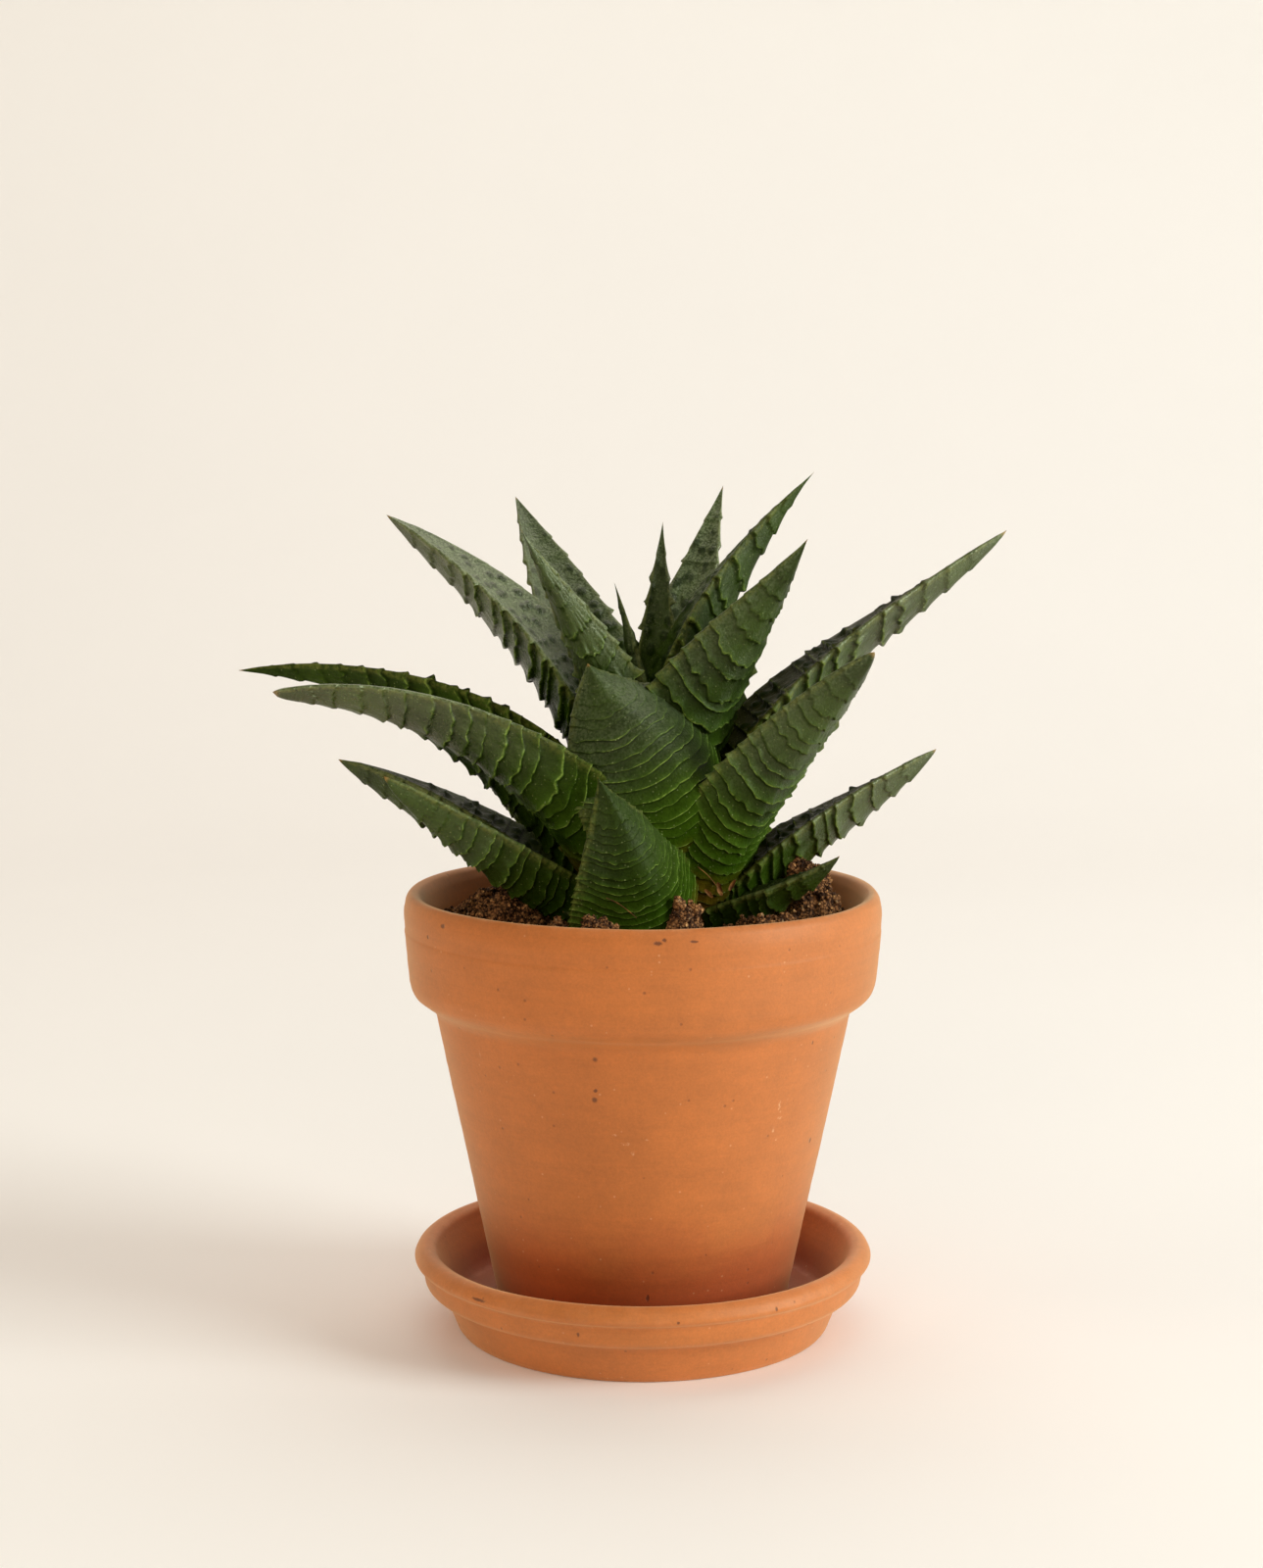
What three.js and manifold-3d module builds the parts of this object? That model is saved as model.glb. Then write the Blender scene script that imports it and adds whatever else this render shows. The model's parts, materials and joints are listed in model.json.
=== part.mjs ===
// A potted haworthia: a rosette of thick, keeled, washboard-ridged leaves in a terracotta pot on its saucer.
// Millimetres, +Z up. The origin is at the middle of the saucer's flat underside.

import * as THREE from 'three';
import { mergeVertices } from 'three/addons/utils/BufferGeometryUtils.js';
import Module from 'manifold-3d';

const wasm = await Module();
wasm.setup();

// ---------------------------------------------------------------- driving dimensions

const CLEARANCE = 0.3; // between pieces that rest on or in each other
const ROUND_SIDES = 40; // facets round the pot and the saucer
const MERGE = 0.001; // points nearer than this are one

const SAUCER = {
  footRadius: 42.3,
  wallTopRadius: 46,
  bandBottom: 9.9,
  bandBottomRadius: 50.3,
  bandRadius: 51,
  grooveHeight: 15.2,
  grooveRadius: 50.6,
  lipRadius: 52.8,
  lipMiddle: 16.8,
  innerLipRadius: 47.7,
  floorRadius: 41.5,
  floorHeight: 6,
  height: 19.7,
};

const POT = {
  footRadius: 33.5,
  foot: SAUCER.floorHeight + CLEARANCE,
  taper: 0.2085, // how much the body's radius grows for each mm of height
  bodyTop: 74.3,
  wall: 5,
  floorThickness: 6.5,
  drainRadius: 6,
  rimBottom: 76,
  rimBottomRadius: 49.6, // the rim's lower corner is well rounded
  rimRadius: 54.6,
  rimShoulder: 98.5,
  top: 101.6,
  mouthRadius: 50.2,
  neckRadius: 47.6, // inside, where the rim band ends below
};

const SOIL = {
  top: 93.5,
  rings: 8,
  sides: 32,
  roughness: 0.9,
};
// Heaps of crumbs on the soil: where each one stands, how wide it is and how far it rises.
const HEAPS = [
  { x: -31, y: -16, radius: 13, rise: 8 },
  { x: -19, y: -32, radius: 9, rise: 5 },
  { x: -9, y: -41, radius: 9, rise: 7.5 },
  { x: 8, y: -32, radius: 7, rise: 10 },
  { x: 27, y: -28, radius: 12, rise: 6 },
  { x: 37, y: -6, radius: 10, rise: 16 },
  { x: 24, y: 29, radius: 12, rise: 5 },
  { x: -4, y: 38, radius: 10, rise: 4 },
  { x: -33, y: 18, radius: 11, rise: 5 },
];

const PLANT_X = 1.5; // the plant stands a little off the pot's axis
const STEM = { foot: 66, root: 80, top: 119, rootRadius: 2.2, radius: 5.2, topRadius: 2.6, sides: 12 };

const LEAF = {
  sides: 8,
  margin: 0.9, // thickness of the leaf's edge
  channel: 0.1, // how deep the upper face is dished, as a share of the leaf's width
  relief: 0.9, // how far a ridge stands out
  sweep: 0.07, // how far a ridge runs towards the tip on its way from the keel to the margins
  step: 0.007, // how short a ridge's steep side is, as a share of the leaf's length
  reach: 0.36, // how far the end directions hold, as a share of the leaf's length
  firstRidge: 0.06,
  lastRidge: 0.9,
  crowding: 1.25, // ridges stand closer together towards the root
  lastRow: 0.955,
};

// The leaves, in the order in which they keep their shape: each gives way to those before it. Bearing and
// swing are in degrees: where the root points, seen from above, anticlockwise from +X, and how far the tip has
// turned from there. Start is the root's distance from the plant's axis and seat its height. Reach and height
// place the tip. Rise and end are the leaf's slopes at its root and at its tip. Roll turns the upper face
// about the leaf's length, and twist is what the tip adds to it. Point and belly shape the outline, and waist
// narrows the root. The rear leaves are hidden in the photograph and follow their neighbours.
const LEAVES = [
  { name: 'leaf_front_low', bearing: 262.7, swing: -8.8, start: 18.1, reach: 40.6, height: 131.6, seat: 93.1,
    rise: 50.2, end: 50.4, width: 33.3, depth: 12.8, roll: 35.5, twist: 22, point: 1.39, belly: 1.81,
    ridges: 12, waist: 0.3 },
  { name: 'leaf_low_left_front', bearing: 215.4, swing: 0, start: 8, reach: 69.1, height: 131.8, seat: 97,
    rise: 26, end: 30, width: 18.5, depth: 8, roll: 5, twist: 2, point: 0.82, belly: 1.12,
    ridges: 9 },
  { name: 'leaf_low_right_front', bearing: 327.9, swing: -1, start: 6, reach: 49.1, height: 112.9, seat: 93,
    rise: 34, end: 34, width: 15.5, depth: 7, roll: 5, twist: 2, point: 0.98, belly: 1.18,
    ridges: 6 },
  { name: 'leaf_left_long', bearing: 245.1, swing: -39.2, start: 5.6, reach: 88.6, height: 149.5, seat: 101.8,
    rise: 53.2, end: -9, width: 29.6, depth: 9.6, roll: 3, twist: 4, point: 0.61, belly: 0.25,
    ridges: 12, waist: 0.2 },
  { name: 'leaf_right_broad', bearing: 313.8, swing: 7.5, start: 9, reach: 60.4, height: 157.9, seat: 96.5,
    rise: 64.8, end: 40.2, width: 27.1, depth: 8.8, roll: -13.5, twist: -6.3, point: 0.69, belly: 0.56,
    ridges: 12 },
  { name: 'leaf_front_middle', bearing: 291.2, swing: -57.7, start: 6.7, reach: 23, height: 154.1, seat: 112.7,
    rise: 44.5, end: 66.3, width: 26, depth: 10, roll: 36.1, twist: 26, point: 1.19, belly: 5,
    ridges: 12, waist: 0.4 },
  { name: 'leaf_left_steep', bearing: 220.8, swing: 3, start: 2, reach: 38.5, height: 183.5, seat: 112.7,
    rise: 97, end: 54, width: 20, depth: 6, roll: 30, twist: 5, point: 1.2, belly: 1.06,
    ridges: 8 },
  { name: 'leaf_right_steep', bearing: 330.4, swing: 0, start: 2, reach: 39.3, height: 181.2, seat: 110.4,
    rise: 99, end: 54, width: 30.4, depth: 10.2, roll: -27, twist: 2, point: 1.16, belly: 1.57,
    ridges: 8 },
  { name: 'leaf_right_tall', bearing: 13, swing: -3, start: 2, reach: 38, height: 195.6, seat: 117,
    rise: 120, end: 41, width: 20.8, depth: 11.7, roll: 2, twist: -13, point: 1.5, belly: 2.8,
    ridges: 8 },
  { name: 'leaf_heart_small', bearing: 200, swing: -1, start: 2, reach: 8.4, height: 171, seat: 118,
    rise: 104, end: 70, width: 7, depth: 3, roll: -4, twist: -1, point: 1.08, belly: 1.04,
    ridges: 4 },
  { name: 'leaf_heart_tall', bearing: 78, swing: 0, start: 9, reach: 15, height: 184.2, seat: 116,
    rise: 102, end: 75, width: 13.4, depth: 6, roll: 4, twist: 1, point: 1.13, belly: 1.1,
    ridges: 5 },
  { name: 'leaf_left_raised', bearing: 159, swing: 3, start: 2, reach: 63.9, height: 185.6, seat: 113,
    rise: 88, end: 25, width: 21, depth: 12, roll: -8, twist: 0, point: 1, belly: 1.7,
    ridges: 10 },
  { name: 'leaf_right_long', bearing: 3.9, swing: 1, start: 6, reach: 81.3, height: 182.4, seat: 108.5,
    rise: 79, end: 34, width: 22, depth: 8.5, roll: 18, twist: -32, point: 0.93, belly: 1.24,
    ridges: 10 },
  { name: 'leaf_low_right', bearing: 0.2, swing: -2, start: 6, reach: 64.7, height: 133.5, seat: 92,
    rise: 52, end: 29, width: 22.4, depth: 9.5, roll: 13, twist: -25, point: 0.93, belly: 1.26,
    ridges: 8 },
  { name: 'leaf_left_far', bearing: 169.7, swing: 0, start: 6, reach: 97, height: 149.7, seat: 105.5,
    rise: 87, end: -7, width: 20, depth: 9, roll: 17, twist: 1, point: 1.06, belly: 1.1,
    ridges: 10 },
  { name: 'leaf_low_left', bearing: 175.6, swing: 3, start: 6, reach: 70.7, height: 130.7, seat: 96.7,
    rise: 37, end: 13, width: 22.4, depth: 11, roll: -5, twist: 12, point: 0.96, belly: 1.6,
    ridges: 7 },
  { name: 'leaf_left_under', bearing: 176.9, swing: 0, start: 2, reach: 62.7, height: 141.9, seat: 97,
    rise: 55, end: 8, width: 21, depth: 9, roll: 0, twist: 0, point: 1.05, belly: 1.1,
    ridges: 6 },
  { name: 'leaf_back_left', bearing: 119.4, swing: 0, start: 2, reach: 66.5, height: 189.4, seat: 111,
    rise: 74, end: 44, width: 25, depth: 7, roll: -9, twist: -3, point: 0.99, belly: 1.26,
    ridges: 7 },
  { name: 'leaf_back_right', bearing: 61, swing: 1, start: 2, reach: 37.5, height: 192.3, seat: 112.5,
    rise: 93, end: 57, width: 21.7, depth: 6, roll: 5, twist: 1, point: 1.08, belly: 1.17,
    ridges: 7 },
  { name: 'leaf_rear_middle', bearing: 84.8, swing: 0, start: 2, reach: 51, height: 149.4, seat: 107,
    rise: 70, end: 40, width: 22, depth: 9, roll: 0, twist: 0, point: 1.05, belly: 1.2,
    ridges: 6 },
  { name: 'leaf_rear_right', bearing: 43.4, swing: 0, start: 6, reach: 48.9, height: 145.7, seat: 103,
    rise: 62, end: 32, width: 22, depth: 9, roll: 0, twist: 0, point: 1.05, belly: 1.2,
    ridges: 6 },
  { name: 'leaf_rear_left', bearing: 108.8, swing: 0, start: 6, reach: 51.3, height: 146, seat: 102,
    rise: 62, end: 42, width: 21, depth: 9, roll: 0, twist: 0, point: 1.05, belly: 1.2,
    ridges: 6 },
  { name: 'leaf_rear_low_left', bearing: 134, swing: 0, start: 6, reach: 64.6, height: 127.7, seat: 97,
    rise: 42, end: 20, width: 21, depth: 9, roll: 0, twist: 0, point: 1, belly: 1.2,
    ridges: 6 },
  { name: 'leaf_rear_low_right', bearing: 64.5, swing: 0, start: 6, reach: 68.9, height: 116.5, seat: 94,
    rise: 30, end: 18, width: 21, depth: 9, roll: 0, twist: 0, point: 1, belly: 1.2,
    ridges: 6 },
  { name: 'leaf_rear_low_middle', bearing: 98.5, swing: 0, start: 6, reach: 56, height: 117.5, seat: 95,
    rise: 28, end: 14, width: 21, depth: 9, roll: 0, twist: 0, point: 1, belly: 1.2,
    ridges: 6 },
  { name: 'leaf_rear_low_side', bearing: 31.9, swing: 0, start: 6, reach: 51.3, height: 110.5, seat: 91.5,
    rise: 24, end: 16, width: 18, depth: 8, roll: 0, twist: 0, point: 1, belly: 1.2,
    ridges: 5 },
  { name: 'leaf_old_front', bearing: 224.9, swing: 0, start: 4, reach: 27.2, height: 99.4, seat: 90,
    rise: 16, end: 22, width: 15, depth: 6, roll: 0, twist: 0, point: 1, belly: 1.1,
    ridges: 4 },
];

// ---------------------------------------------------------------- materials

const terracotta = { color: 0xc9743f, roughness: 0.9, metalness: 0 };
const terracottaDamp = { color: 0xbb6536, roughness: 0.9, metalness: 0 };
const peat = { color: 0x3a271b, roughness: 1, metalness: 0 };
const leafGreen = { color: 0x2f4a2b, roughness: 0.55, metalness: 0 };
const stemGreen = { color: 0x6f7a3a, roughness: 0.7, metalness: 0 };

// ---------------------------------------------------------------- closed solids

function toSolid(geometry) {
  const bare = geometry.clone();
  bare.deleteAttribute('normal');
  bare.deleteAttribute('uv');
  const merged = mergeVertices(bare, MERGE);
  const triVerts = [];
  const index = merged.index.array;
  for (let i = 0; i < index.length; i += 3) {
    const [a, b, c] = index.slice(i, i + 3);
    if (a !== b && b !== c && c !== a) triVerts.push(a, b, c);
  }
  const mesh = new wasm.Mesh({
    numProp: 3,
    vertProperties: Float32Array.from(merged.attributes.position.array),
    triVerts: Uint32Array.from(triVerts),
  });
  return new wasm.Manifold(mesh);
}

function toGeometry(solid) {
  const mesh = solid.getMesh();
  const geometry = new THREE.BufferGeometry();
  geometry.setAttribute('position', new THREE.BufferAttribute(mesh.vertProperties, 3));
  geometry.setIndex(new THREE.BufferAttribute(mesh.triVerts, 1));
  geometry.computeVertexNormals();
  return geometry;
}

// Cutting a leaf by its neighbours can leave loose scraps and slivers. Only the leaf itself is kept.
function largestPiece(solid) {
  const pieces = toSolid(toGeometry(solid)).decompose();
  return pieces.reduce((best, piece) => (piece.volume() > best.volume() ? piece : best));
}

// A body of revolution about Z. The profile runs up the outside and ends where it began.
function turned(profile, sides) {
  const points = profile.map(([radius, height]) => new THREE.Vector2(radius, height));
  return new THREE.LatheGeometry(points, sides).rotateX(Math.PI / 2);
}

// ---------------------------------------------------------------- saucer and pot

function saucerProfile() {
  const s = SAUCER;
  return [
    [0, 0],
    [s.footRadius, 0],
    [s.footRadius + 0.7, 0.7],
    [s.wallTopRadius, s.bandBottom - 1.6],
    [s.wallTopRadius + 1.3, s.bandBottom - 0.4],
    [s.bandBottomRadius - 0.8, s.bandBottom - 0.1],
    [s.bandBottomRadius, s.bandBottom + 0.6],
    [s.bandRadius, s.grooveHeight - 0.5],
    [s.grooveRadius, s.grooveHeight],
    [s.lipRadius - 0.5, s.grooveHeight + 0.5],
    [s.lipRadius, s.lipMiddle],
    [s.lipRadius - 0.8, s.height - 0.9],
    [(s.lipRadius + s.innerLipRadius) / 2, s.height],
    [s.innerLipRadius, s.height - 0.8],
    [s.innerLipRadius - 1, s.height - 3.6],
    [s.floorRadius + 1.5, s.floorHeight + 1.6],
    [s.floorRadius, s.floorHeight],
    [0, s.floorHeight],
  ];
}

function bodyRadius(height) {
  return POT.footRadius + POT.taper * (height - POT.foot);
}

// The pot's inside, from the mouth down to the floor, which the soil follows too.
function potInside(gap) {
  const floor = POT.foot + POT.floorThickness;
  const shoulder = POT.bodyTop - 2;
  return [
    [POT.mouthRadius - 0.4 - gap, POT.top - 2.2],
    [POT.neckRadius + 1 - gap, POT.rimShoulder - 4],
    [POT.neckRadius - gap, POT.rimBottom + 2.2],
    [bodyRadius(shoulder) - POT.wall - gap, shoulder],
    [bodyRadius(floor + 4) - POT.wall - gap, floor + 4],
    [bodyRadius(floor) - POT.wall - 3 - gap, floor + gap],
  ];
}

function potProfile() {
  const p = POT;
  const outside = [
    [p.drainRadius, p.foot],
    [p.footRadius - 1, p.foot],
    [p.footRadius + 0.1, p.foot + 0.8],
    [bodyRadius(p.bodyTop), p.bodyTop],
    [p.rimBottomRadius, p.rimBottom],
    [p.rimRadius - 2.7, p.rimBottom + 1.7],
    [p.rimRadius - 1.3, p.rimBottom + 4.6],
    [p.rimRadius - 0.1, p.rimShoulder - 5.5],
    [p.rimRadius, p.rimShoulder - 1.5],
    [p.rimRadius - 0.6, p.top - 1.3],
    [p.rimRadius - 1.9, p.top],
    [p.mouthRadius + 0.6, p.top - 0.5],
  ];
  return [...outside, ...potInside(0), [p.drainRadius, p.foot + p.floorThickness], outside[0]];
}

// ---------------------------------------------------------------- soil

// Crumbs and dips of the soil, made from a few crossing waves, with the heaps added.
function soilHeight(x, y) {
  const crumbs = Math.sin(0.83 * x + 1.7) * Math.cos(0.71 * y + 0.4) + Math.sin(0.43 * x - 0.62 * y + 2.1);
  const heaps = HEAPS.map((heap) => {
    const away = Math.hypot(x - heap.x, y - heap.y) / heap.radius;
    return away < 1 ? heap.rise * (1 - away * away) ** 1.5 : 0;
  });
  return SOIL.top + SOIL.roughness * crumbs + Math.max(...heaps);
}

function soilGeometry() {
  const side = potInside(CLEARANCE).slice(2).reverse();
  const edge = bodyRadius(POT.bodyTop) - POT.wall + (SOIL.top - POT.bodyTop) * 0.3 - CLEARANCE;
  const outline = [[0, side[0][1]], ...side, [Math.min(edge, POT.neckRadius - CLEARANCE), SOIL.top - 2]];
  const widest = outline[outline.length - 1][0];
  for (let ring = SOIL.rings - 1; ring >= 0; ring -= 1) outline.push([(widest * ring) / SOIL.rings, SOIL.top]);
  const geometry = turned(outline, SOIL.sides);
  const spots = geometry.attributes.position;
  for (let i = 0; i < spots.count; i += 1) {
    if (spots.getZ(i) < SOIL.top - 1) continue;
    spots.setZ(i, soilHeight(spots.getX(i), spots.getY(i)));
  }
  return geometry;
}

// ---------------------------------------------------------------- stem

function stemGeometry(gap) {
  const s = STEM;
  const outline = [
    [0, s.foot - gap],
    [s.rootRadius + gap, s.foot + 4],
    [s.radius + gap, s.root],
    [s.radius + gap, s.root + 22],
    [s.topRadius + gap, s.top],
    [0, s.top + 1 + gap],
  ];
  return turned(outline, s.sides).translate(PLANT_X, 0, 0);
}

// ---------------------------------------------------------------- leaves

function heading(bearing, slope) {
  const turn = THREE.MathUtils.degToRad(bearing);
  const climb = THREE.MathUtils.degToRad(slope);
  return new THREE.Vector3(
    Math.cos(turn) * Math.cos(climb),
    Math.sin(turn) * Math.cos(climb),
    Math.sin(climb),
  );
}

function aroundPlant(bearing, radius, height) {
  return heading(bearing, 0).multiplyScalar(radius).add(new THREE.Vector3(PLANT_X, 0, height));
}

// The line that runs from the leaf's root to its tip.
function leafSpine(leaf) {
  const tipBearing = leaf.bearing + leaf.swing;
  const root = aroundPlant(leaf.bearing, leaf.start, leaf.seat);
  const tip = aroundPlant(tipBearing, leaf.reach, leaf.height);
  const pull = root.distanceTo(tip) * LEAF.reach;
  const leaving = heading(leaf.bearing, leaf.rise).multiplyScalar(pull).add(root);
  const arriving = heading(tipBearing, leaf.end).multiplyScalar(-pull).add(tip);
  return new THREE.CubicBezierCurve3(root, leaving, arriving, tip);
}

// The leaf's place, across direction and upper-face direction at a share of its length.
function leafFrame(leaf, spine, along) {
  const place = spine.getPoint(along);
  const forward = spine.getTangent(along);
  const level = heading(leaf.bearing + leaf.swing * along + 90, 0);
  const upper = forward.clone().cross(level).normalize();
  const across = upper.clone().cross(forward);
  const roll = THREE.MathUtils.degToRad(leaf.roll + leaf.twist * along);
  across.applyAxisAngle(forward, roll);
  upper.applyAxisAngle(forward, roll);
  return { place, across, upper };
}

function halfWidth(leaf, along) {
  const waist = leaf.waist ?? 0.25;
  const root = 1 - waist * Math.max(0, 1 - along / 0.22) ** 2;
  return (leaf.width / 2) * (1 - along) ** leaf.point * (1 + leaf.belly * along) * root;
}

function keelDepth(leaf, along) {
  return leaf.depth * (1 - along) ** (leaf.point * 0.85) * (1 + leaf.belly * 0.7 * along);
}

// Where a leaf's ridges lie along it, closer together towards the root.
function ridgePlaces(leaf) {
  return Array.from({ length: leaf.ridges }, (_, ridge) => {
    const share = ((ridge + 0.5) / leaf.ridges) ** LEAF.crowding;
    return LEAF.firstRidge + (LEAF.lastRidge - LEAF.firstRidge) * share;
  });
}

// The rows of points along a leaf: a flat one before each ridge and a raised one on its crest.
function ridgedRows(leaf) {
  const pairs = ridgePlaces(leaf).flatMap((place) => [
    { along: place - LEAF.step, lift: 0 },
    { along: place + LEAF.step, lift: 1 },
  ]);
  return [{ along: 0, lift: 0 }, ...pairs, { along: LEAF.lastRow, lift: 0 }];
}

function smoothRows(leaf) {
  return [0, ...ridgePlaces(leaf), LEAF.lastRow].map((along) => ({ along, lift: 0 }));
}

// The leaf's section: across is -1 and 1 at the margins and 0 on the keel. The back comes first.
const BACK = [-1, -0.64, 0, 0.64, 1].map((across) => ({ across, back: true }));
const FACE = [1, 0, -1].map((across) => ({ across, back: false }));
const SECTION = [...BACK, ...FACE];

function leafPoint(leaf, spine, row, corner, grow) {
  const bend = corner.back ? corner.across ** 2 : 1;
  const shift = LEAF.sweep * (bend - 0.4) * (1 - row.along) * Math.min(1, row.along / 0.1);
  const along = THREE.MathUtils.clamp(row.along + shift, 0, 0.995);
  const { place, across, upper } = leafFrame(leaf, spine, along);
  const half = halfWidth(leaf, along);
  const slim = Math.min(1, half / 2);
  const fade = THREE.MathUtils.smoothstep(along, 0.02, 0.16) * (0.35 + 0.65 * Math.min(1, half / 6));
  const lift = LEAF.relief * row.lift * fade;
  const edge = (LEAF.margin / 2) * slim;
  const side = corner.across * (half + lift * 0.8 + grow);
  const hollow = 1 - corner.across ** 2;
  const belly = -keelDepth(leaf, along) * (1 - Math.abs(corner.across) ** 1.6) - edge;
  const height = corner.back
    ? belly - lift * (1 - 0.6 * Math.abs(corner.across)) - grow
    : edge - 2 * LEAF.channel * half * hollow + grow;
  return place.addScaledVector(across, side).addScaledVector(upper, height);
}

// The middle of the leaf's root, half way between the dished face and the keel.
function rootMiddle(leaf, spine) {
  const { place, upper } = leafFrame(leaf, spine, 0);
  return place.addScaledVector(upper, -keelDepth(leaf, 0) / 2);
}

// A cone's rows and sides, moved to where the leaf's rows and corners lie. Its point is the leaf's tip.
function leafGeometry(leaf, rows, grow) {
  const spine = leafSpine(leaf);
  const geometry = new THREE.ConeGeometry(1, 1, LEAF.sides, rows.length);
  const spots = geometry.attributes.position;
  for (let i = 0; i < spots.count; i += 1) {
    const level = Math.round((spots.getY(i) + 0.5) * rows.length);
    const spread = Math.hypot(spots.getX(i), spots.getZ(i));
    const turn = Math.atan2(spots.getX(i), spots.getZ(i)) / (2 * Math.PI);
    const corner = SECTION[Math.round((1 + turn) * LEAF.sides) % LEAF.sides];
    const inMiddle = spread < 1e-6;
    let target = leafPoint(leaf, spine, rows[Math.min(level, rows.length - 1)], corner, grow);
    if (level === rows.length) target = spine.getPoint(1);
    else if (inMiddle) target = rootMiddle(leaf, spine);
    spots.setXYZ(i, target.x, target.y, target.z);
  }
  return geometry;
}

// The room that a leaf takes up, with its ridges and a clearance, which later leaves and the soil leave free.
function leafRoom(leaf) {
  return toSolid(leafGeometry(leaf, smoothRows(leaf), LEAF.relief + CLEARANCE));
}

// ---------------------------------------------------------------- the object

const haworthia = new THREE.Group();

function addPiece(name, geometry, finish) {
  const mesh = new THREE.Mesh(geometry, new THREE.MeshStandardMaterial(finish));
  mesh.name = name;
  haworthia.add(mesh);
}

addPiece('saucer', toGeometry(toSolid(turned(saucerProfile(), ROUND_SIDES))), terracottaDamp);
addPiece('pot', toGeometry(toSolid(turned(potProfile(), ROUND_SIDES))), terracotta);
addPiece('stem', toGeometry(toSolid(stemGeometry(0))), stemGreen);

const stemRoom = toSolid(stemGeometry(CLEARANCE));
const rooms = [stemRoom];
for (const leaf of LEAVES) {
  const whole = toSolid(leafGeometry(leaf, ridgedRows(leaf), 0));
  const fitted = rooms.reduce((solid, room) => solid.subtract(room), whole);
  addPiece(leaf.name, toGeometry(largestPiece(fitted)), leafGreen);
  rooms.push(leafRoom(leaf));
}

const soil = rooms.reduce((solid, room) => solid.subtract(room), toSolid(soilGeometry()));
addPiece('soil', toGeometry(largestPiece(soil)), peat);

export default haworthia;
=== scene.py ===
# %% [markdown]
# # A potted haworthia
# A rosette of thick, keeled leaves with raised cross ridges grows in a terracotta pot of soil, which stands
# on a terracotta saucer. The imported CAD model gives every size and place. This script gives each piece the
# surface that a close look shows: ridges, crumbs, sandy clay and damp marks. The meshes are worked out with
# numpy, because thousands of points that follow one formula are quick to make that way and always come out
# the same.

import json
import math

import bpy
import numpy as np
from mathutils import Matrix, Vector

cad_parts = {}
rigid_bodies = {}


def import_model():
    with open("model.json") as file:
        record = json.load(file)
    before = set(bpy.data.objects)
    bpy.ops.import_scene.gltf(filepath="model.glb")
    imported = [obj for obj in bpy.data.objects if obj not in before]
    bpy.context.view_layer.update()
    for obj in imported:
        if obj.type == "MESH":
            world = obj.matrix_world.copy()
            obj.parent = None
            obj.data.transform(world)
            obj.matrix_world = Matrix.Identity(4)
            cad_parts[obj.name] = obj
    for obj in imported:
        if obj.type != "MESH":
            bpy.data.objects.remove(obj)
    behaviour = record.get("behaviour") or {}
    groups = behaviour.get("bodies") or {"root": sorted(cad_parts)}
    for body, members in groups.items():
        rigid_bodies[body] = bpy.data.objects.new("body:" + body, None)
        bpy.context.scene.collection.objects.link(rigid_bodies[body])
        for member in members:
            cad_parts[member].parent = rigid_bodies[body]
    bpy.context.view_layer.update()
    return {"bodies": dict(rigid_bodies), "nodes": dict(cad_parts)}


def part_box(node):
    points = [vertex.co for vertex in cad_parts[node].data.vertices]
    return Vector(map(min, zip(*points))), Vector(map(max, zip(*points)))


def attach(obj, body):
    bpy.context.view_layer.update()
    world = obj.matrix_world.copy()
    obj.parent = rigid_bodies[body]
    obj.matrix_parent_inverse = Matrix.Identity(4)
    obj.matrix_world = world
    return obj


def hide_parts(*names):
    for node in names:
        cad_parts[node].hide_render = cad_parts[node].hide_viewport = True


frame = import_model()
MM = 0.001
BODY = next(iter(frame["bodies"]))


def size_of(node):
    low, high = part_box(node)
    return [round((b - a) / MM, 1) for a, b in zip(low, high)]


print("pot, mm:", size_of("pot"), "saucer, mm:", size_of("saucer"))

# %% [markdown]
# ## The camera
# The photograph was taken from a little above the rim, looking slightly down. Its place was found from the
# ellipses of the rim and the saucer, so the camera needs only a place, a tilt and a focal length.

# %% Camera
CAMERA_PLACE = Vector((-2.564, -582.58, 196.56)) * MM
CAMERA_TILT = 6.977  # degrees below the horizon
CAMERA_LENS = 59.47
FILM = 36  # mm, the photograph's long side

lens = bpy.data.cameras.new("camera")
lens.lens, lens.sensor_width = CAMERA_LENS, FILM
camera = bpy.data.objects.new("camera", lens)
camera.location = CAMERA_PLACE
camera.rotation_euler = (math.radians(90 - CAMERA_TILT), 0, 0)
bpy.context.scene.collection.objects.link(camera)
bpy.context.scene.camera = camera
bpy.context.scene.view_settings.view_transform = "Standard"
print(f"camera: {CAMERA_LENS} mm lens, tilted down {CAMERA_TILT} degrees")

# %% [markdown]
# ## Mesh helpers
# Every piece here is one grid of points, or several. Numpy can hand Blender the whole grid at once with
# foreach_set, which is far quicker than adding points one by one. Values that a material wants to know,
# such as how far along the leaf a point lies, ride on the points as named attributes.


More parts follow.
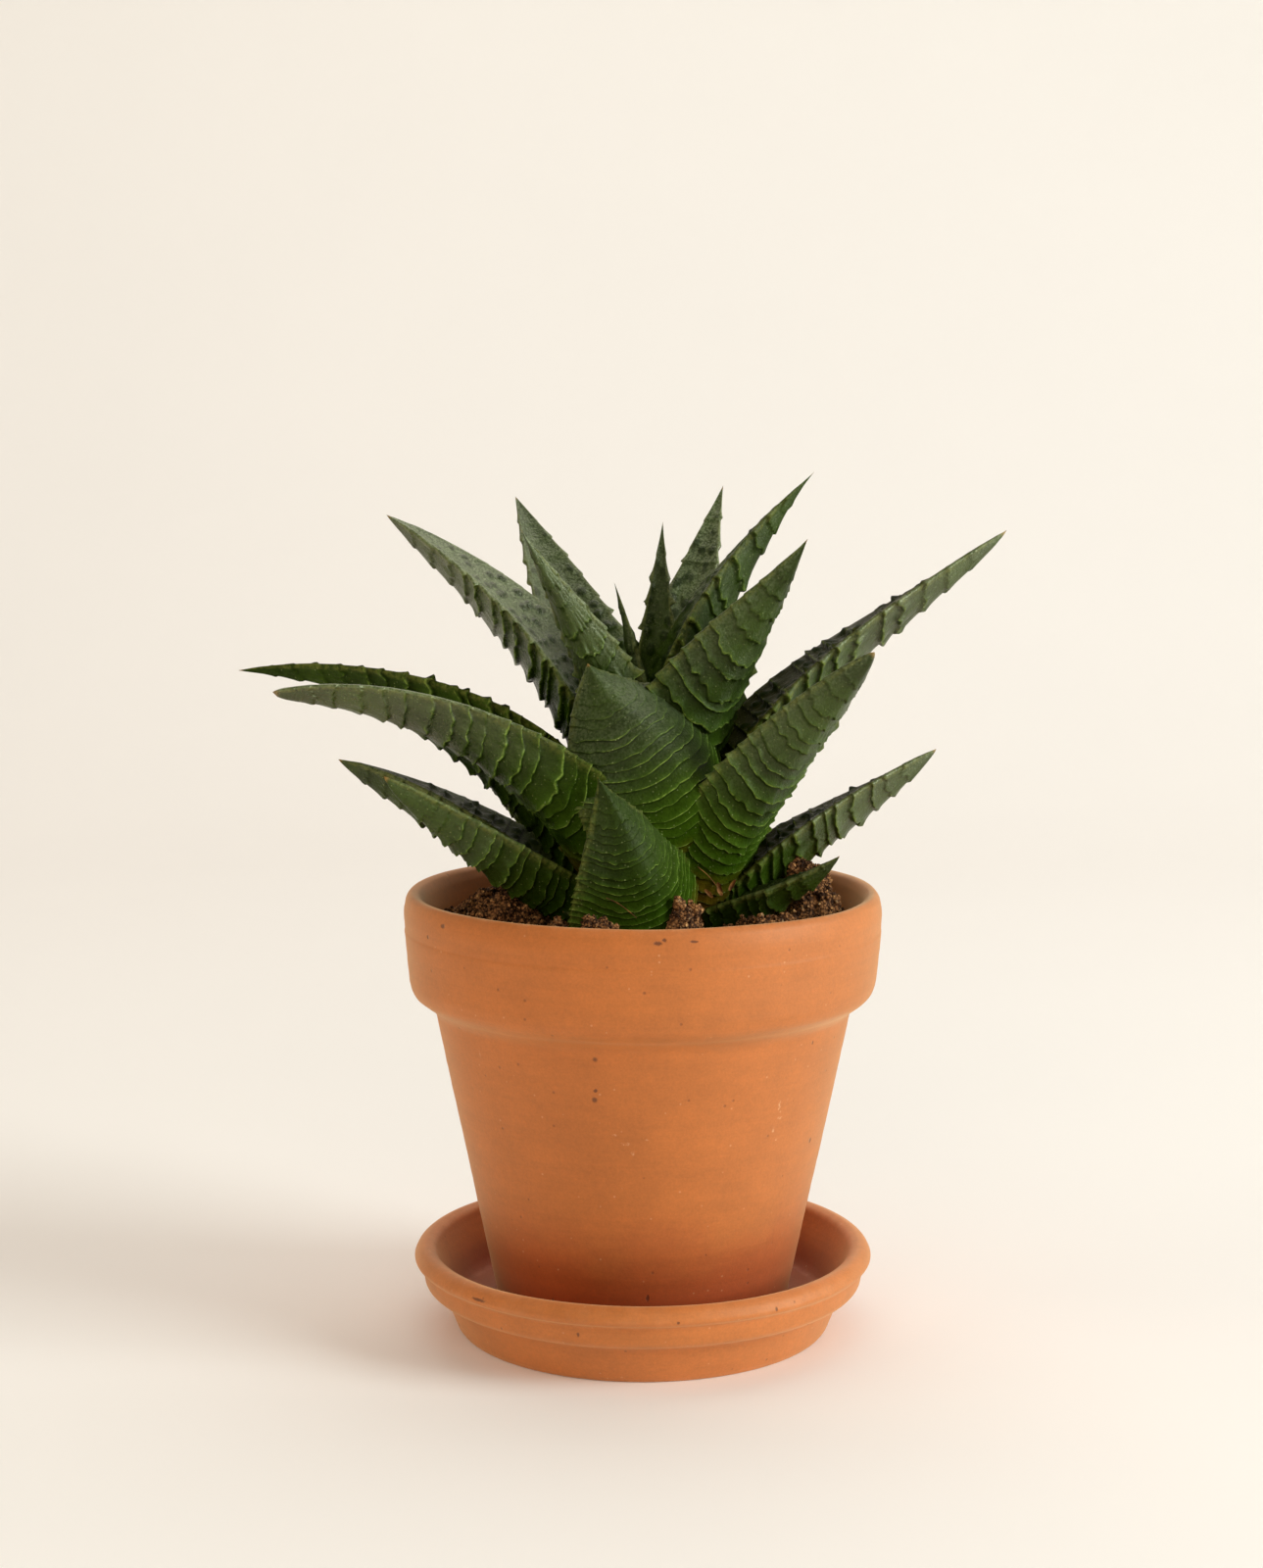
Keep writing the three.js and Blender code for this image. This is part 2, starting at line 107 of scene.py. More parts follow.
# %% From numpy to Blender
def make_piece(name, points, faces, slot, replaces=(), **facts):
    """A smooth mesh piece from points in mm. Faces are arrays of corners, facts are point attributes."""
    mesh = bpy.data.meshes.new(name)
    counts = np.concatenate([np.full(len(block), block.shape[1]) for block in faces])
    corners = np.concatenate([block.ravel() for block in faces])
    mesh.vertices.add(len(points))
    mesh.vertices.foreach_set("co", (np.asarray(points) * MM).astype(np.float32).ravel())
    mesh.loops.add(len(corners))
    mesh.loops.foreach_set("vertex_index", corners.astype(np.int32))
    mesh.polygons.add(len(counts))
    mesh.polygons.foreach_set("loop_start", np.concatenate([[0], np.cumsum(counts)[:-1]]).astype(np.int32))
    mesh.polygons.foreach_set("use_smooth", np.ones(len(counts), bool))
    for label, values in facts.items():
        layer = mesh.attributes.new(label, "FLOAT", "POINT")
        layer.data.foreach_set("value", np.broadcast_to(values, len(points)).astype(np.float32))
    mesh.update(calc_edges=True)
    mesh.validate()
    piece = bpy.data.objects.new(name, mesh)
    bpy.context.scene.collection.objects.link(piece)
    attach(piece, BODY)
    if replaces:
        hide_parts(*replaces)
    print(f"{name}: {len(points)} points, {len(counts)} faces")
    return piece


# %% Faces between the points
def grid_faces(rows, columns, close_rows=False):
    """Quads between the points of a grid whose columns run round in a ring."""
    row = np.arange(rows if close_rows else rows - 1)[:, None]
    column = np.arange(columns)[None, :]
    beyond, beside = (row + 1) % rows, (column + 1) % columns
    here, there = row * columns, beyond * columns
    quads = [here + column, here + beside, there + beside, there + column]
    return np.stack(quads, axis=-1).reshape(-1, 4)


def fan_faces(ring_start, columns, centre, outward):
    """Triangles that close a ring with one point in its middle."""
    column = np.arange(columns)
    first, second = ring_start + column, ring_start + (column + 1) % columns
    middle = np.full(columns, centre)
    return np.stack([first, second, middle] if outward else [second, first, middle], axis=-1)


# %% [markdown]
# ## Noise
# Clay, soil and leaves all need an unevenness that comes out the same on each run. A texture could move the
# points, but it is hard to read back. So this is a small lattice noise: every whole-numbered cell has one
# fixed random number, and a point takes a smooth blend of the eight numbers round it.


# %% Lattice noise
def lattice(cell, seed):
    """A fixed random number from -1 to 1 for each whole-numbered cell."""
    mixed = cell @ np.array([374761393, 668265263, 2147483629]) + seed * 1274126177
    mixed = mixed & 0xFFFFFFFF
    mixed = ((mixed ^ (mixed >> 13)) * 1274126177) & 0xFFFFFFFF
    return ((mixed ^ (mixed >> 16)) & 0xFFFFFF) / 0x7FFFFF - 1


def waves(points, size, seed):
    """Smooth lumps about size mm across, from -1 to 1, at each point."""
    scaled = np.asarray(points, float) / size
    cell = np.floor(scaled).astype(np.int64)
    part = scaled - cell
    part = part * part * (3 - 2 * part)
    total = 0
    for corner in np.ndindex(2, 2, 2):
        share = np.prod(np.where(corner, part, 1 - part), axis=-1)
        total = total + share * lattice(cell + np.array(corner), seed)
    return total


def rough(points, size, seed, layers=4, fade=0.5):
    """Lumps with ever finer lumps on them."""
    return sum(fade**layer * waves(points, size / 2**layer, seed + 31 * layer) for layer in range(layers))


# %% [markdown]
# ## Shader helpers
# A material is a small network. Writing it node by node takes many lines, so a few helpers add a node and
# join it in one call. Effects that several materials share become node groups: each is built once, with
# named inputs, and is placed in a material with that material's own values.


# %% Wiring
def linear(red, green, blue):
    """A colour as a screen shows it, 0 to 255, as the linear values that shaders want."""
    parts = [channel / 255 for channel in (red, green, blue)]
    return (*[p / 12.92 if p <= 0.04045 else ((p + 0.055) / 1.055) ** 2.4 for p in parts], 1)


class Wiring:
    """Adds nodes to one tree. Each call takes sockets or plain values and returns the new node's output."""

    def __init__(self, tree):
        self.tree = tree

    def put(self, socket, value):
        if isinstance(value, bpy.types.NodeSocket):
            self.tree.links.new(value, socket)
        elif value is not None:
            socket.default_value = value

    def add(self, kind, inputs=(), output=0, **settings):
        node = self.tree.nodes.new(kind)
        for label, value in settings.items():
            setattr(node, label, value)
        for label, value in dict(inputs).items():
            self.put(node.inputs[label], value)
        return node.outputs[output]

    def math(self, operation, first, second=None):
        return self.add("ShaderNodeMath", {0: first, 1: second}, operation=operation)

    def plus(self, first, second):
        return self.math("ADD", first, second)

    def minus(self, first, second):
        return self.math("SUBTRACT", first, second)

    def times(self, first, second):
        return self.math("MULTIPLY", first, second)

    def higher(self, first, second):
        return self.math("MAXIMUM", first, second)

    def mix(self, share, first, second, how="MIX"):
        return self.add("ShaderNodeMix", {0: share, 6: first, 7: second}, 2, data_type="RGBA", blend_type=how)

    def shaded(self, colour, shade):
        """The colour times a brightness."""
        grey = self.add("ShaderNodeCombineColor", {0: shade, 1: shade, 2: shade})
        return self.mix(1.0, colour, grey, "MULTIPLY")

    def bump(self, height, strength, depth):
        """A normal from a height map whose full swing is depth mm."""
        inputs = {"Height": height, "Strength": strength, "Distance": depth * MM}
        return self.add("ShaderNodeBump", inputs)

    def remap(self, value, low, high, to_low=0.0, to_high=1.0):
        inputs = {"Value": value, "From Min": low, "From Max": high, "To Min": to_low, "To Max": to_high}
        return self.add("ShaderNodeMapRange", inputs, interpolation_type="SMOOTHSTEP")

    def noise(self, place, scale, detail=3.0, roughness=0.55):
        inputs = {"Vector": place, "Scale": scale, "Detail": detail, "Roughness": roughness}
        return self.add("ShaderNodeTexNoise", inputs)

    def cells(self, place, scale, output="Distance"):
        return self.add("ShaderNodeTexVoronoi", {"Vector": place, "Scale": scale}, output)

    def stretch(self, place, scale):
        return self.add("ShaderNodeMapping", {"Vector": place, "Scale": scale})

    def place(self):
        return self.add("ShaderNodeTexCoord", output="Object")

    def fact(self, label):
        return self.add("ShaderNodeAttribute", output="Fac", attribute_name=label)

    def group(self, tree, **inputs):
        node = self.tree.nodes.new("ShaderNodeGroup")
        node.node_tree = tree
        for label, value in inputs.items():
            self.put(node.inputs[label.replace("_", " ")], value)
        return node.outputs


# %% New effects and materials
def effect(name, inputs, outputs):
    """An empty node group with named sockets, and the wiring to fill it."""
    kinds = {"value": "NodeSocketFloat", "colour": "NodeSocketColor", "vector": "NodeSocketVector"}
    tree = bpy.data.node_groups.new(name, "ShaderNodeTree")
    for label, (kind, value) in inputs.items():
        socket = tree.interface.new_socket(label, in_out="INPUT", socket_type=kinds[kind])
        if value is not None:
            socket.default_value = value
    for label, kind in outputs.items():
        tree.interface.new_socket(label, in_out="OUTPUT", socket_type=kinds[kind])
    given, made = tree.nodes.new("NodeGroupInput"), tree.nodes.new("NodeGroupOutput")
    print(f"effect {name}: {', '.join(inputs)} -> {', '.join(outputs)}")
    return tree, Wiring(tree), given.outputs, made.inputs


def material(name, roughness=0.8, specular=0.5):
    """A new material and its Principled shader."""
    made = bpy.data.materials.new(name)
    made.use_nodes = True
    shader = made.node_tree.nodes["Principled BSDF"]
    shader.inputs["Roughness"].default_value = roughness
    shader.inputs["Specular IOR Level"].default_value = specular
    print(f"material {name}")
    return made, Wiring(made.node_tree), shader.inputs


# %% [markdown]
# ## Effects that the materials share
# Fired clay, soil and leaves are all a little uneven. Three effects cover most of it: a mottle that
# lightens and darkens a colour in soft patches, fine grain that also gives the bump its height, and specks,
# which are small dots scattered at random.

# %% Mottle
MOTTLE, w, given, made = effect(
    "mottle",
    {
        "Place": ("vector", None),
        "Colour": ("colour", None),
        "Size": ("value", 40.0),
        "Amount": ("value", 0.1),
    },
    {"Colour": "colour"},
)
patches = w.noise(given["Place"], given["Size"], 4.0, 0.6)
lighter = w.minus(w.remap(patches, 0.25, 0.75), 0.5)
swing = w.times(lighter, w.times(given["Amount"], 2.0))
shade = w.plus(swing, 1.0)
w.put(made["Colour"], w.shaded(given["Colour"], shade))

# %% Grain
GRAIN, w, given, made = effect(
    "grain",
    {"Place": ("vector", None), "Fineness": ("value", 1500.0), "Contrast": ("value", 0.2)},
    {"Shade": "value", "Height": "value"},
)
sand = w.noise(given["Place"], given["Fineness"], 2.0, 0.7)
bigger = w.noise(given["Place"], w.times(given["Fineness"], 0.37), 2.0, 0.6)
both = w.plus(w.times(sand, 0.6), w.times(bigger, 0.4))
centred = w.times(w.minus(both, 0.5), w.times(given["Contrast"], 4.0))
w.put(made["Shade"], w.plus(centred, 1.0))
w.put(made["Height"], both)

# %% Specks
SPECKS, w, given, made = effect(
    "specks",
    {
        "Place": ("vector", None),
        "Fineness": ("value", 300.0),
        "Share": ("value", 0.1),
        "Width": ("value", 0.3),
    },
    {"Mask": "value"},
)
away = w.cells(given["Place"], given["Fineness"])
lot = w.add("ShaderNodeSeparateColor", {0: w.cells(given["Place"], given["Fineness"], "Color")})
chosen = w.math("LESS_THAN", lot, given["Share"])
dot = w.minus(1.0, w.remap(away, w.times(given["Width"], 0.4), given["Width"]))
w.put(made["Mask"], w.times(chosen, dot))

# %% [markdown]
# ## Fired clay
# Terracotta is matte and never quite even. It has sandy grain, faint rings where the clay turned under the
# maker's tool, a few pits darkened with painted shade, and a deeper red where it holds water. Rings are noise
# squeezed flat along the height. Where the clay is damp comes from the mesh as a fact on its points, and
# noise frays its edge.

# %% The clay effect
CLAY, w, given, made = effect(
    "fired_clay",
    {
        "Dry": ("colour", None),
        "Damp": ("colour", None),
        "Damp share": ("value", 0.0),
        "Wear": ("value", 0.0),
        "Nicks": ("value", 0.0),
        "Salts": ("value", 0.0),
    },
    {"Colour": "colour", "Roughness": "value", "Height": "value"},
)
where = w.place()
fray = w.times(w.minus(w.noise(where, 50.0, 5.0, 0.6), 0.5), 1.1)
damp = w.times(given["Damp share"], w.remap(w.plus(given["Damp share"], fray), 0.05, 0.75))
tone = w.mix(damp, given["Dry"], given["Damp"])
tone = w.group(MOTTLE, Place=where, Colour=tone, Size=22.0, Amount=0.06)["Colour"]
tone = w.group(MOTTLE, Place=where, Colour=tone, Size=110.0, Amount=0.055)["Colour"]
rings = w.noise(w.stretch(where, (14, 14, 900)), 1.0, 3.0, 0.6)
streaks = w.noise(w.stretch(where, (60, 60, 420)), 1.0, 3.0, 0.6)
lines = w.plus(w.remap(rings, 0.3, 0.7, -0.022, 0.022), w.remap(streaks, 0.3, 0.7, -0.03, 0.03))
grain = w.group(GRAIN, Place=where, Fineness=1900.0, Contrast=0.14)
shade = w.plus(grain["Shade"], lines)
tone = w.shaded(tone, shade)
pits = w.group(SPECKS, Place=where, Fineness=190.0, Share=0.05, Width=0.16)["Mask"]
small_pits = w.group(SPECKS, Place=where, Fineness=520.0, Share=0.045, Width=0.24)["Mask"]
salts = w.group(SPECKS, Place=where, Fineness=640.0, Share=0.06, Width=0.22)["Mask"]
hollow = w.higher(w.higher(pits, given["Nicks"]), w.times(small_pits, 0.6))
# Pits and nicks are darkened: painted shade inside the hollows.
tone = w.mix(w.times(hollow, 0.78), tone, linear(84, 34, 18))
sprinkle = w.times(given["Salts"], w.remap(w.noise(where, 1100.0, 2.0), 0.45, 0.65, 0.05, 0.5))
pale = w.higher(w.times(salts, 0.25), sprinkle)
tone = w.mix(pale, tone, linear(238, 190, 140))
worn = w.times(given["Wear"], w.remap(w.noise(where, 260.0, 4.0), 0.38, 0.66))
tone = w.mix(w.times(worn, 0.35), tone, linear(226, 160, 112))
w.put(made["Colour"], tone)
w.put(made["Roughness"], w.minus(0.6, w.times(damp, 0.06)))
relief = w.plus(w.times(grain["Height"], 0.5), w.times(rings, 0.45))
w.put(made["Height"], w.minus(relief, w.times(hollow, 0.9)))

# %% [markdown]
# ## Nicks and salts
# Chance pits are scattered by the effect above, but a few marks can be pointed at on the real pot: chips in
# the lip, a nick on the saucer, and two sprinkles of white salts. Chips and nicks are darkened with painted
# shade. Each is a small oval on the clay unrolled flat. Turn is in degrees from the front, and the other
# numbers are in mm.

# %% Named marks
# turn, height, half width, half height
POT_NICKS = [(-53, 98.4, 0.8, 0.6), (3, 98.6, 0.9, 0.5), (4.5, 99.2, 0.5, 0.4), (11, 98.8, 0.8, 0.35)]
POT_NICKS += [(-60, 95, 0.5, 0.5), (-13, 65, 0.5, 0.5), (1.5, 16.5, 0.6, 0.9), (-35, 14, 0.4, 0.4)]
POT_NICKS += [(52, 72, 0.4, 0.5)]
POT_SALTS = [(-5, 53, 1.3, 0.4), (-3, 51, 0.5, 0.7), (-8, 55, 0.7, 0.3), (1, 54, 0.4, 0.3)]
POT_SALTS += [(-50, 70, 0.25, 1.3), (42, 59, 0.4, 1.2), (43, 56, 0.7, 0.4), (41, 53.5, 0.4, 0.9)]
POT_SALTS += [(45, 60, 0.3, 0.4), (43, 51, 0.4, 0.4)]
SAUCER_NICKS = [(-43, 17.2, 2.2, 0.35), (-16, 13, 0.4, 0.6), (33, 17, 0.4, 0.5), (8, 16.6, 0.4, 0.4)]


def marks(name, ovals, radius):
    """A node group whose mask is 1 on each oval. Radius is where the clay is unrolled."""
    tree, w, given, made = effect(name, {"Place": ("vector", None)}, {"Mask": "value"})
    axes = w.tree.nodes.new("ShaderNodeSeparateXYZ")
    w.put(axes.inputs[0], given["Place"])
    turn = w.math("ARCTAN2", axes.outputs[0], w.times(axes.outputs[1], -1.0))
    frayed = w.times(w.minus(w.noise(given["Place"], 1500.0, 2.0), 0.5), 1.2)
    mask = 0.0
    for degrees, height, half_width, half_height in ovals:
        beside = w.times(w.minus(turn, math.radians(degrees)), radius / half_width)
        above = w.math("DIVIDE", w.minus(axes.outputs[2], height * MM), half_height * MM)
        away = w.math("SQRT", w.plus(w.times(beside, beside), w.times(above, above)))
        spot = w.minus(1.0, w.remap(w.plus(away, frayed), 0.5, 1.1))
        mask = w.higher(mask, spot)
    w.put(made["Mask"], mask)
    return tree


# %% [markdown]
# ## The two clays
# The pot and the saucer follow one recipe, each with its own colours and marks. Rough fired clay is dusty,
# so it looks paler where light grazes it. Sheen does that. Its faint shine is tinted, because bare clay has
# no glaze to reflect light unchanged.

# %% Two clays
CLAY_SHINE, CLAY_SHEEN = 0.8, 0.45


def clay(name, dry, damp, nicks, salts):
    made, w, shader = material(name, specular=CLAY_SHINE)
    shader["Specular Tint"].default_value = (1.0, 0.88, 0.66, 1)
    shader["Sheen Weight"].default_value = CLAY_SHEEN
    shader["Sheen Roughness"].default_value = 0.45
    shader["Sheen Tint"].default_value = linear(255, 222, 166)
    place = w.place()
    found = {"Nicks": w.group(nicks, Place=place)["Mask"]}
    if salts:
        found["Salts"] = w.group(salts, Place=place)["Mask"]
    out = w.group(CLAY, Dry=dry, Damp=damp, Damp_share=w.fact("damp"), Wear=w.fact("wear"), **found)
    w.put(shader["Base Color"], out["Colour"])
    w.put(shader["Roughness"], out["Roughness"])
    w.put(shader["Normal"], w.bump(out["Height"], 0.6, 0.14))
    return made


pot_nicks, pot_salts = marks("pot_nicks", POT_NICKS, 47), marks("pot_salts", POT_SALTS, 42)
saucer_nicks = marks("saucer_nicks", SAUCER_NICKS, 52)
POT_CLAY = clay("pot_clay", linear(188, 103, 42), linear(156, 58, 22), pot_nicks, pot_salts)
SAUCER_CLAY = clay("saucer_clay", linear(194, 110, 50), linear(152, 60, 24), saucer_nicks, None)


# %% [markdown]
# ## Turned clay
# The pot and the saucer are round, so each is a profile swept about the axis. A real edge is never sharp,
# so every corner of the profile is cut by a small curve first, with its own radius. The swept surface is
# then moved by a hair's breadth: in rings, as a turning tool leaves, and in slow lumps, as hands do.


# %% Profiles
def softened(corners, steps=5, longest=1.4):
    """A closed or open profile with each corner (radius, height, softness) rounded and long runs split."""
    spots = np.array([(r, z) for r, z, _ in corners], float)
    soft = [s for _, _, s in corners]
    line = []
    for i, here in enumerate(spots):
        before, after = spots[i - 1], spots[(i + 1) % len(spots)]
        if soft[i] == 0:
            line.append(here)
            continue
        back, on = before - here, after - here
        cut = min(soft[i], np.linalg.norm(back) * 0.45, np.linalg.norm(on) * 0.45)
        start = here + back / np.linalg.norm(back) * cut
        end = here + on / np.linalg.norm(on) * cut
        for t in np.linspace(0, 1, steps):
            line.append((1 - t) ** 2 * start + 2 * t * (1 - t) * here + t**2 * end)
    line = np.array(line)
    closed = soft[0] > 0
    ends = np.roll(line, -1, axis=0) if closed else line[1:]
    fine = []
    for a, b in zip(line, ends):
        parts = max(1, math.ceil(np.linalg.norm(b - a) / longest))
        fine += [a + (b - a) * k / parts for k in range(parts)]
    if not closed:
        fine.append(line[-1])
    return np.array(fine), closed


# %% Sweeping a profile
def turned_piece(name, corners, slot, damp_line, seed, inside=False, sides=400, wobble=0.10, rings=0.035):
    """A round piece for the CAD node of its name, wet below damp_line's first height, dry above the other."""
    line, closed = softened(corners)
    if closed:
        along = np.roll(line, -1, axis=0) - np.roll(line, 1, axis=0)
    else:
        along = np.gradient(line, axis=0)
    out = np.stack([along[:, 1], -along[:, 0]], axis=1)
    out /= np.linalg.norm(out, axis=1, keepdims=True)
    turn = np.linspace(0, 2 * np.pi, sides, endpoint=False)
    radius, z = line[:, :1], np.repeat(line[:, 1:], sides, axis=1)
    flat = np.stack([radius * np.cos(turn), radius * np.sin(turn), z], axis=-1)
    squeezed = flat * np.array([0.05, 0.05, 1])
    move = wobble * rough(flat, 26, seed, 2) + rings * rough(squeezed, 1.3, seed + 7, 2)
    move = move - move.max()
    move = move * np.clip((line[:, 1] - line[:, 1].min()) / 0.5, 0, 1)[:, None]
    moved = line[:, None, :] + out[:, None, :] * move[..., None]
    points = np.stack([moved[..., 0] * np.cos(turn), moved[..., 0] * np.sin(turn), moved[..., 1]], axis=-1)
    points = points.reshape(-1, 3)
    bend = np.linalg.norm(np.roll(out, -2, axis=0) - np.roll(out, 2, axis=0), axis=1)
    wear = np.repeat(np.clip(bend - 0.35, 0, 1), sides)
    wet = 1 - np.clip((line[:, 1] - damp_line[0]) / (damp_line[1] - damp_line[0]), 0, 1)
    if inside:
        wet = wet * ((out[:, 0] < -0.02) | (out[:, 1] > 0.9))
    damp = np.repeat(wet, sides)
    faces = [grid_faces(len(line), sides, close_rows=closed)]
    if not closed:
        points = np.vstack([points, [0, 0, line[0, 1]], [0, 0, line[-1, 1]]])
        wear, damp = np.append(wear, [0, 0]), np.append(damp, [0, 1])
        faces.append(fan_faces(0, sides, len(points) - 2, False))
        faces.append(fan_faces((len(line) - 1) * sides, sides, len(points) - 1, True))
    return make_piece(name, points, faces, slot, [name.replace("fine_", "")], wear=wear, damp=damp)


# %% [markdown]
# ## The saucer
# A thick pressed dish: a narrow foot, a plain band, a groove, and a round lip that turns in. Each row of
# the profile is radius, height and softness in mm, from the middle of the underside out, up and back in.

# %% Saucer
SAUCER_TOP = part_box("saucer")[1].z / MM
SAUCER_FLOOR = 6
SAUCER_DAMP = (8, 17)  # wet below the first height, dry above the second
SAUCER_PROFILE = [
    (4, 0, 0),
    (42.2, 0, 0.5),
    (43, 0.8, 0.6),
    (46, 8.3, 1.4),
    (47.2, 9.5, 0.9),
    (49.4, 9.9, 0.6),
    (50.3, 10.9, 0.9),
    (50.9, 13.9, 1.2),
    (51, 15, 0.9),
    (52.4, 15.8, 0.9),
    (52.8, 16.8, 1.0),
    (51.9, 18.8, 1.0),
    (50.15, SAUCER_TOP, 1.2),
    (47.7, 18.9, 1.0),
    (46.7, 16.1, 1.5),
    (43, 7.6, 1.5),
    (41.5, SAUCER_FLOOR, 1.5),
    (4, SAUCER_FLOOR, 0),
]
saucer = turned_piece("fine_saucer", SAUCER_PROFILE, "saucer_terracotta", SAUCER_DAMP, seed=11, inside=True)
saucer.data.materials.append(SAUCER_CLAY)

# %% [markdown]
# ## The pot
# The body widens upwards and ends in a deep rim band with a soft shoulder and a rounded lip. The profile is
# closed, because it runs up the outside, over the lip, down the inside and out through the drain hole.

# %% Pot
pot_low, pot_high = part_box("pot")
POT_FOOT, POT_TOP = pot_low.z / MM, pot_high.z / MM
POT_DAMP = (9, 44)
POT_PROFILE = [
    (6, POT_FOOT, 0.6),
    (32.3, POT_FOOT, 0.5),
    (33.6, POT_FOOT + 0.8, 0.7),
    (47.6, 74.2, 1.2),
    (49, 75.7, 1.0),
    (50.6, 76.7, 1.0),
    (52.5, 78.3, 1.2),
    (53.4, 80.8, 1.6),
    (54.4, 92.4, 0.5),
    (54.3, 93, 0.5),
    (54.6, 97, 1.6),
    (54, 100.3, 1.4),
    (52.8, POT_TOP, 1.2),
    (50.8, 101.1, 0.8),
    (49.8, 99.4, 1.4),
    (48.6, 94.5, 2.0),
    (47.6, 78.2, 3.0),
    (42.2, 71.6, 3.0),
    (31.9, 17, 2.0),
    (28.0, 12.8, 1.0),
    (6, 12.8, 0.6),
]
pot = turned_piece("fine_pot", POT_PROFILE, "terracotta", POT_DAMP, seed=23, wobble=0.16, rings=0.05)
pot.data.materials.append(POT_CLAY)

# %% [markdown]
# ## Soil
# Potting mix is a dark, crumbly heap with paler grit in it. Its surface is a disc of rings and spokes
# pushed up and down by noise, with low heaps where crumbs piled up against the leaves. The heaps stand
# where the CAD soil has them. A skirt under the surface closes it, and stays clear of the pot's inside.

# %% Soil surface
SOIL_TOP = 93.5
SOIL_EDGE = 47.3  # where it meets the pot
SOIL_ROUGHNESS = 0.9
# Each heap's middle x and y, its radius and how far it rises.
HEAPS = [
    (-31, -16, 13, 8),
    (-19, -32, 9, 5),
    (-9, -41, 9, 7.5),
    (8, -32, 7, 10),
    (27, -28, 12, 6),
    (37, -6, 10, 16),
    (24, 29, 12, 5),
    (-4, 38, 10, 4),
    (-33, 18, 11, 5),
]
SOIL_SKIRT = [(47.3, 86), (47.3, 78.4), (41, 71.4), (31, 17.2), (27.3, 13.1)]


def soil_height(x, y):
    """The soil's height: the CAD's waves and heaps, and the crumbs' own lumps."""
    level = np.sin(0.83 * x + 1.7) * np.cos(0.71 * y + 0.4) + np.sin(0.43 * x - 0.62 * y + 2.1)
    heap = np.zeros_like(x)
    for middle_x, middle_y, radius, rise in HEAPS:
        away = np.hypot(x - middle_x, y - middle_y) / radius
        heap = np.maximum(heap, rise * np.clip(1 - away**2, 0, 1) ** 1.5)
    spot = np.stack([x, y, np.zeros_like(x)], axis=-1)
    lumps = np.abs(rough(spot, 6, 41, 5, 0.62))
    return SOIL_TOP + SOIL_ROUGHNESS * level + heap + 2.2 * lumps - 1.6


def soil_piece(rings=150, sides=420):
    turn = np.linspace(0, 2 * np.pi, sides, endpoint=False)
    radius = np.linspace(SOIL_EDGE, 0.4, rings)[:, None]
    x, y = radius * np.cos(turn), radius * np.sin(turn)
    z = np.minimum(soil_height(x, y), POT_TOP + 12)
    top = np.stack([x, y, z], axis=-1)
    ring = np.stack([np.cos(turn), np.sin(turn), 0 * turn], axis=-1)
    skirt = [ring * r + [0, 0, h] for r, h in SOIL_SKIRT[::-1]]
    points = np.vstack([np.array(skirt).reshape(-1, 3), top.reshape(-1, 3)])
    levels = len(skirt) + rings
    points = np.vstack([points, [0, 0, SOIL_SKIRT[-1][1]], [0, 0, soil_height(np.zeros(1), np.zeros(1))[0]]])
    faces = [
        grid_faces(levels, sides),
        fan_faces(0, sides, len(points) - 2, False),
        fan_faces((levels - 1) * sides, sides, len(points) - 1, True),
    ]
    tone = 0.5 + 0.5 * waves(points, 3.5, 57)
    return make_piece("fine_soil", points, faces, "soil", ["soil"], tone=tone)


soil = soil_piece()

# %% [markdown]
# ## Crumbs
# Loose crumbs lie on the surface, from clods of several millimetres to grit. One crumb is a small faceted
# ball squashed and dented at random. Scattering copies of it by a seeded random generator and joining them
# into one mesh keeps the object count low.

# %% A small ball
GOLDEN = (1 + 5**0.5) / 2
BALL_POINTS = np.array(
    [(-1, GOLDEN, 0), (1, GOLDEN, 0), (-1, -GOLDEN, 0), (1, -GOLDEN, 0), (0, -1, GOLDEN), (0, 1, GOLDEN)]
    + [(0, -1, -GOLDEN), (0, 1, -GOLDEN), (GOLDEN, 0, -1), (GOLDEN, 0, 1), (-GOLDEN, 0, -1), (-GOLDEN, 0, 1)]
) / np.hypot(1, GOLDEN)
BALL_FACES = np.array(
    [(0, 11, 5), (0, 5, 1), (0, 1, 7), (0, 7, 10), (0, 10, 11), (1, 5, 9), (5, 11, 4), (11, 10, 2), (10, 7, 6)]
    + [(7, 1, 8), (3, 9, 4), (3, 4, 2), (3, 2, 6), (3, 6, 8), (3, 8, 9), (4, 9, 5), (2, 4, 11), (6, 2, 10)]
    + [(8, 6, 7), (9, 8, 1)]
)


def split_ball(points, faces):
    """Each triangle becomes four, and the new points go out to the ball."""
    middles, index, fine = {}, list(points), []
    for face in faces:
        half = []
        for a, b in zip(face, np.roll(face, -1)):
            key = (min(a, b), max(a, b))
            if key not in middles:
                middle = points[a] + points[b]
                middles[key] = len(index)
                index.append(middle / np.linalg.norm(middle))
            half.append(middles[key])
        a, b, c = face
        fine += [(a, half[0], half[2]), (b, half[1], half[0]), (c, half[2], half[1]), tuple(half)]
    return np.array(index), np.array(fine)


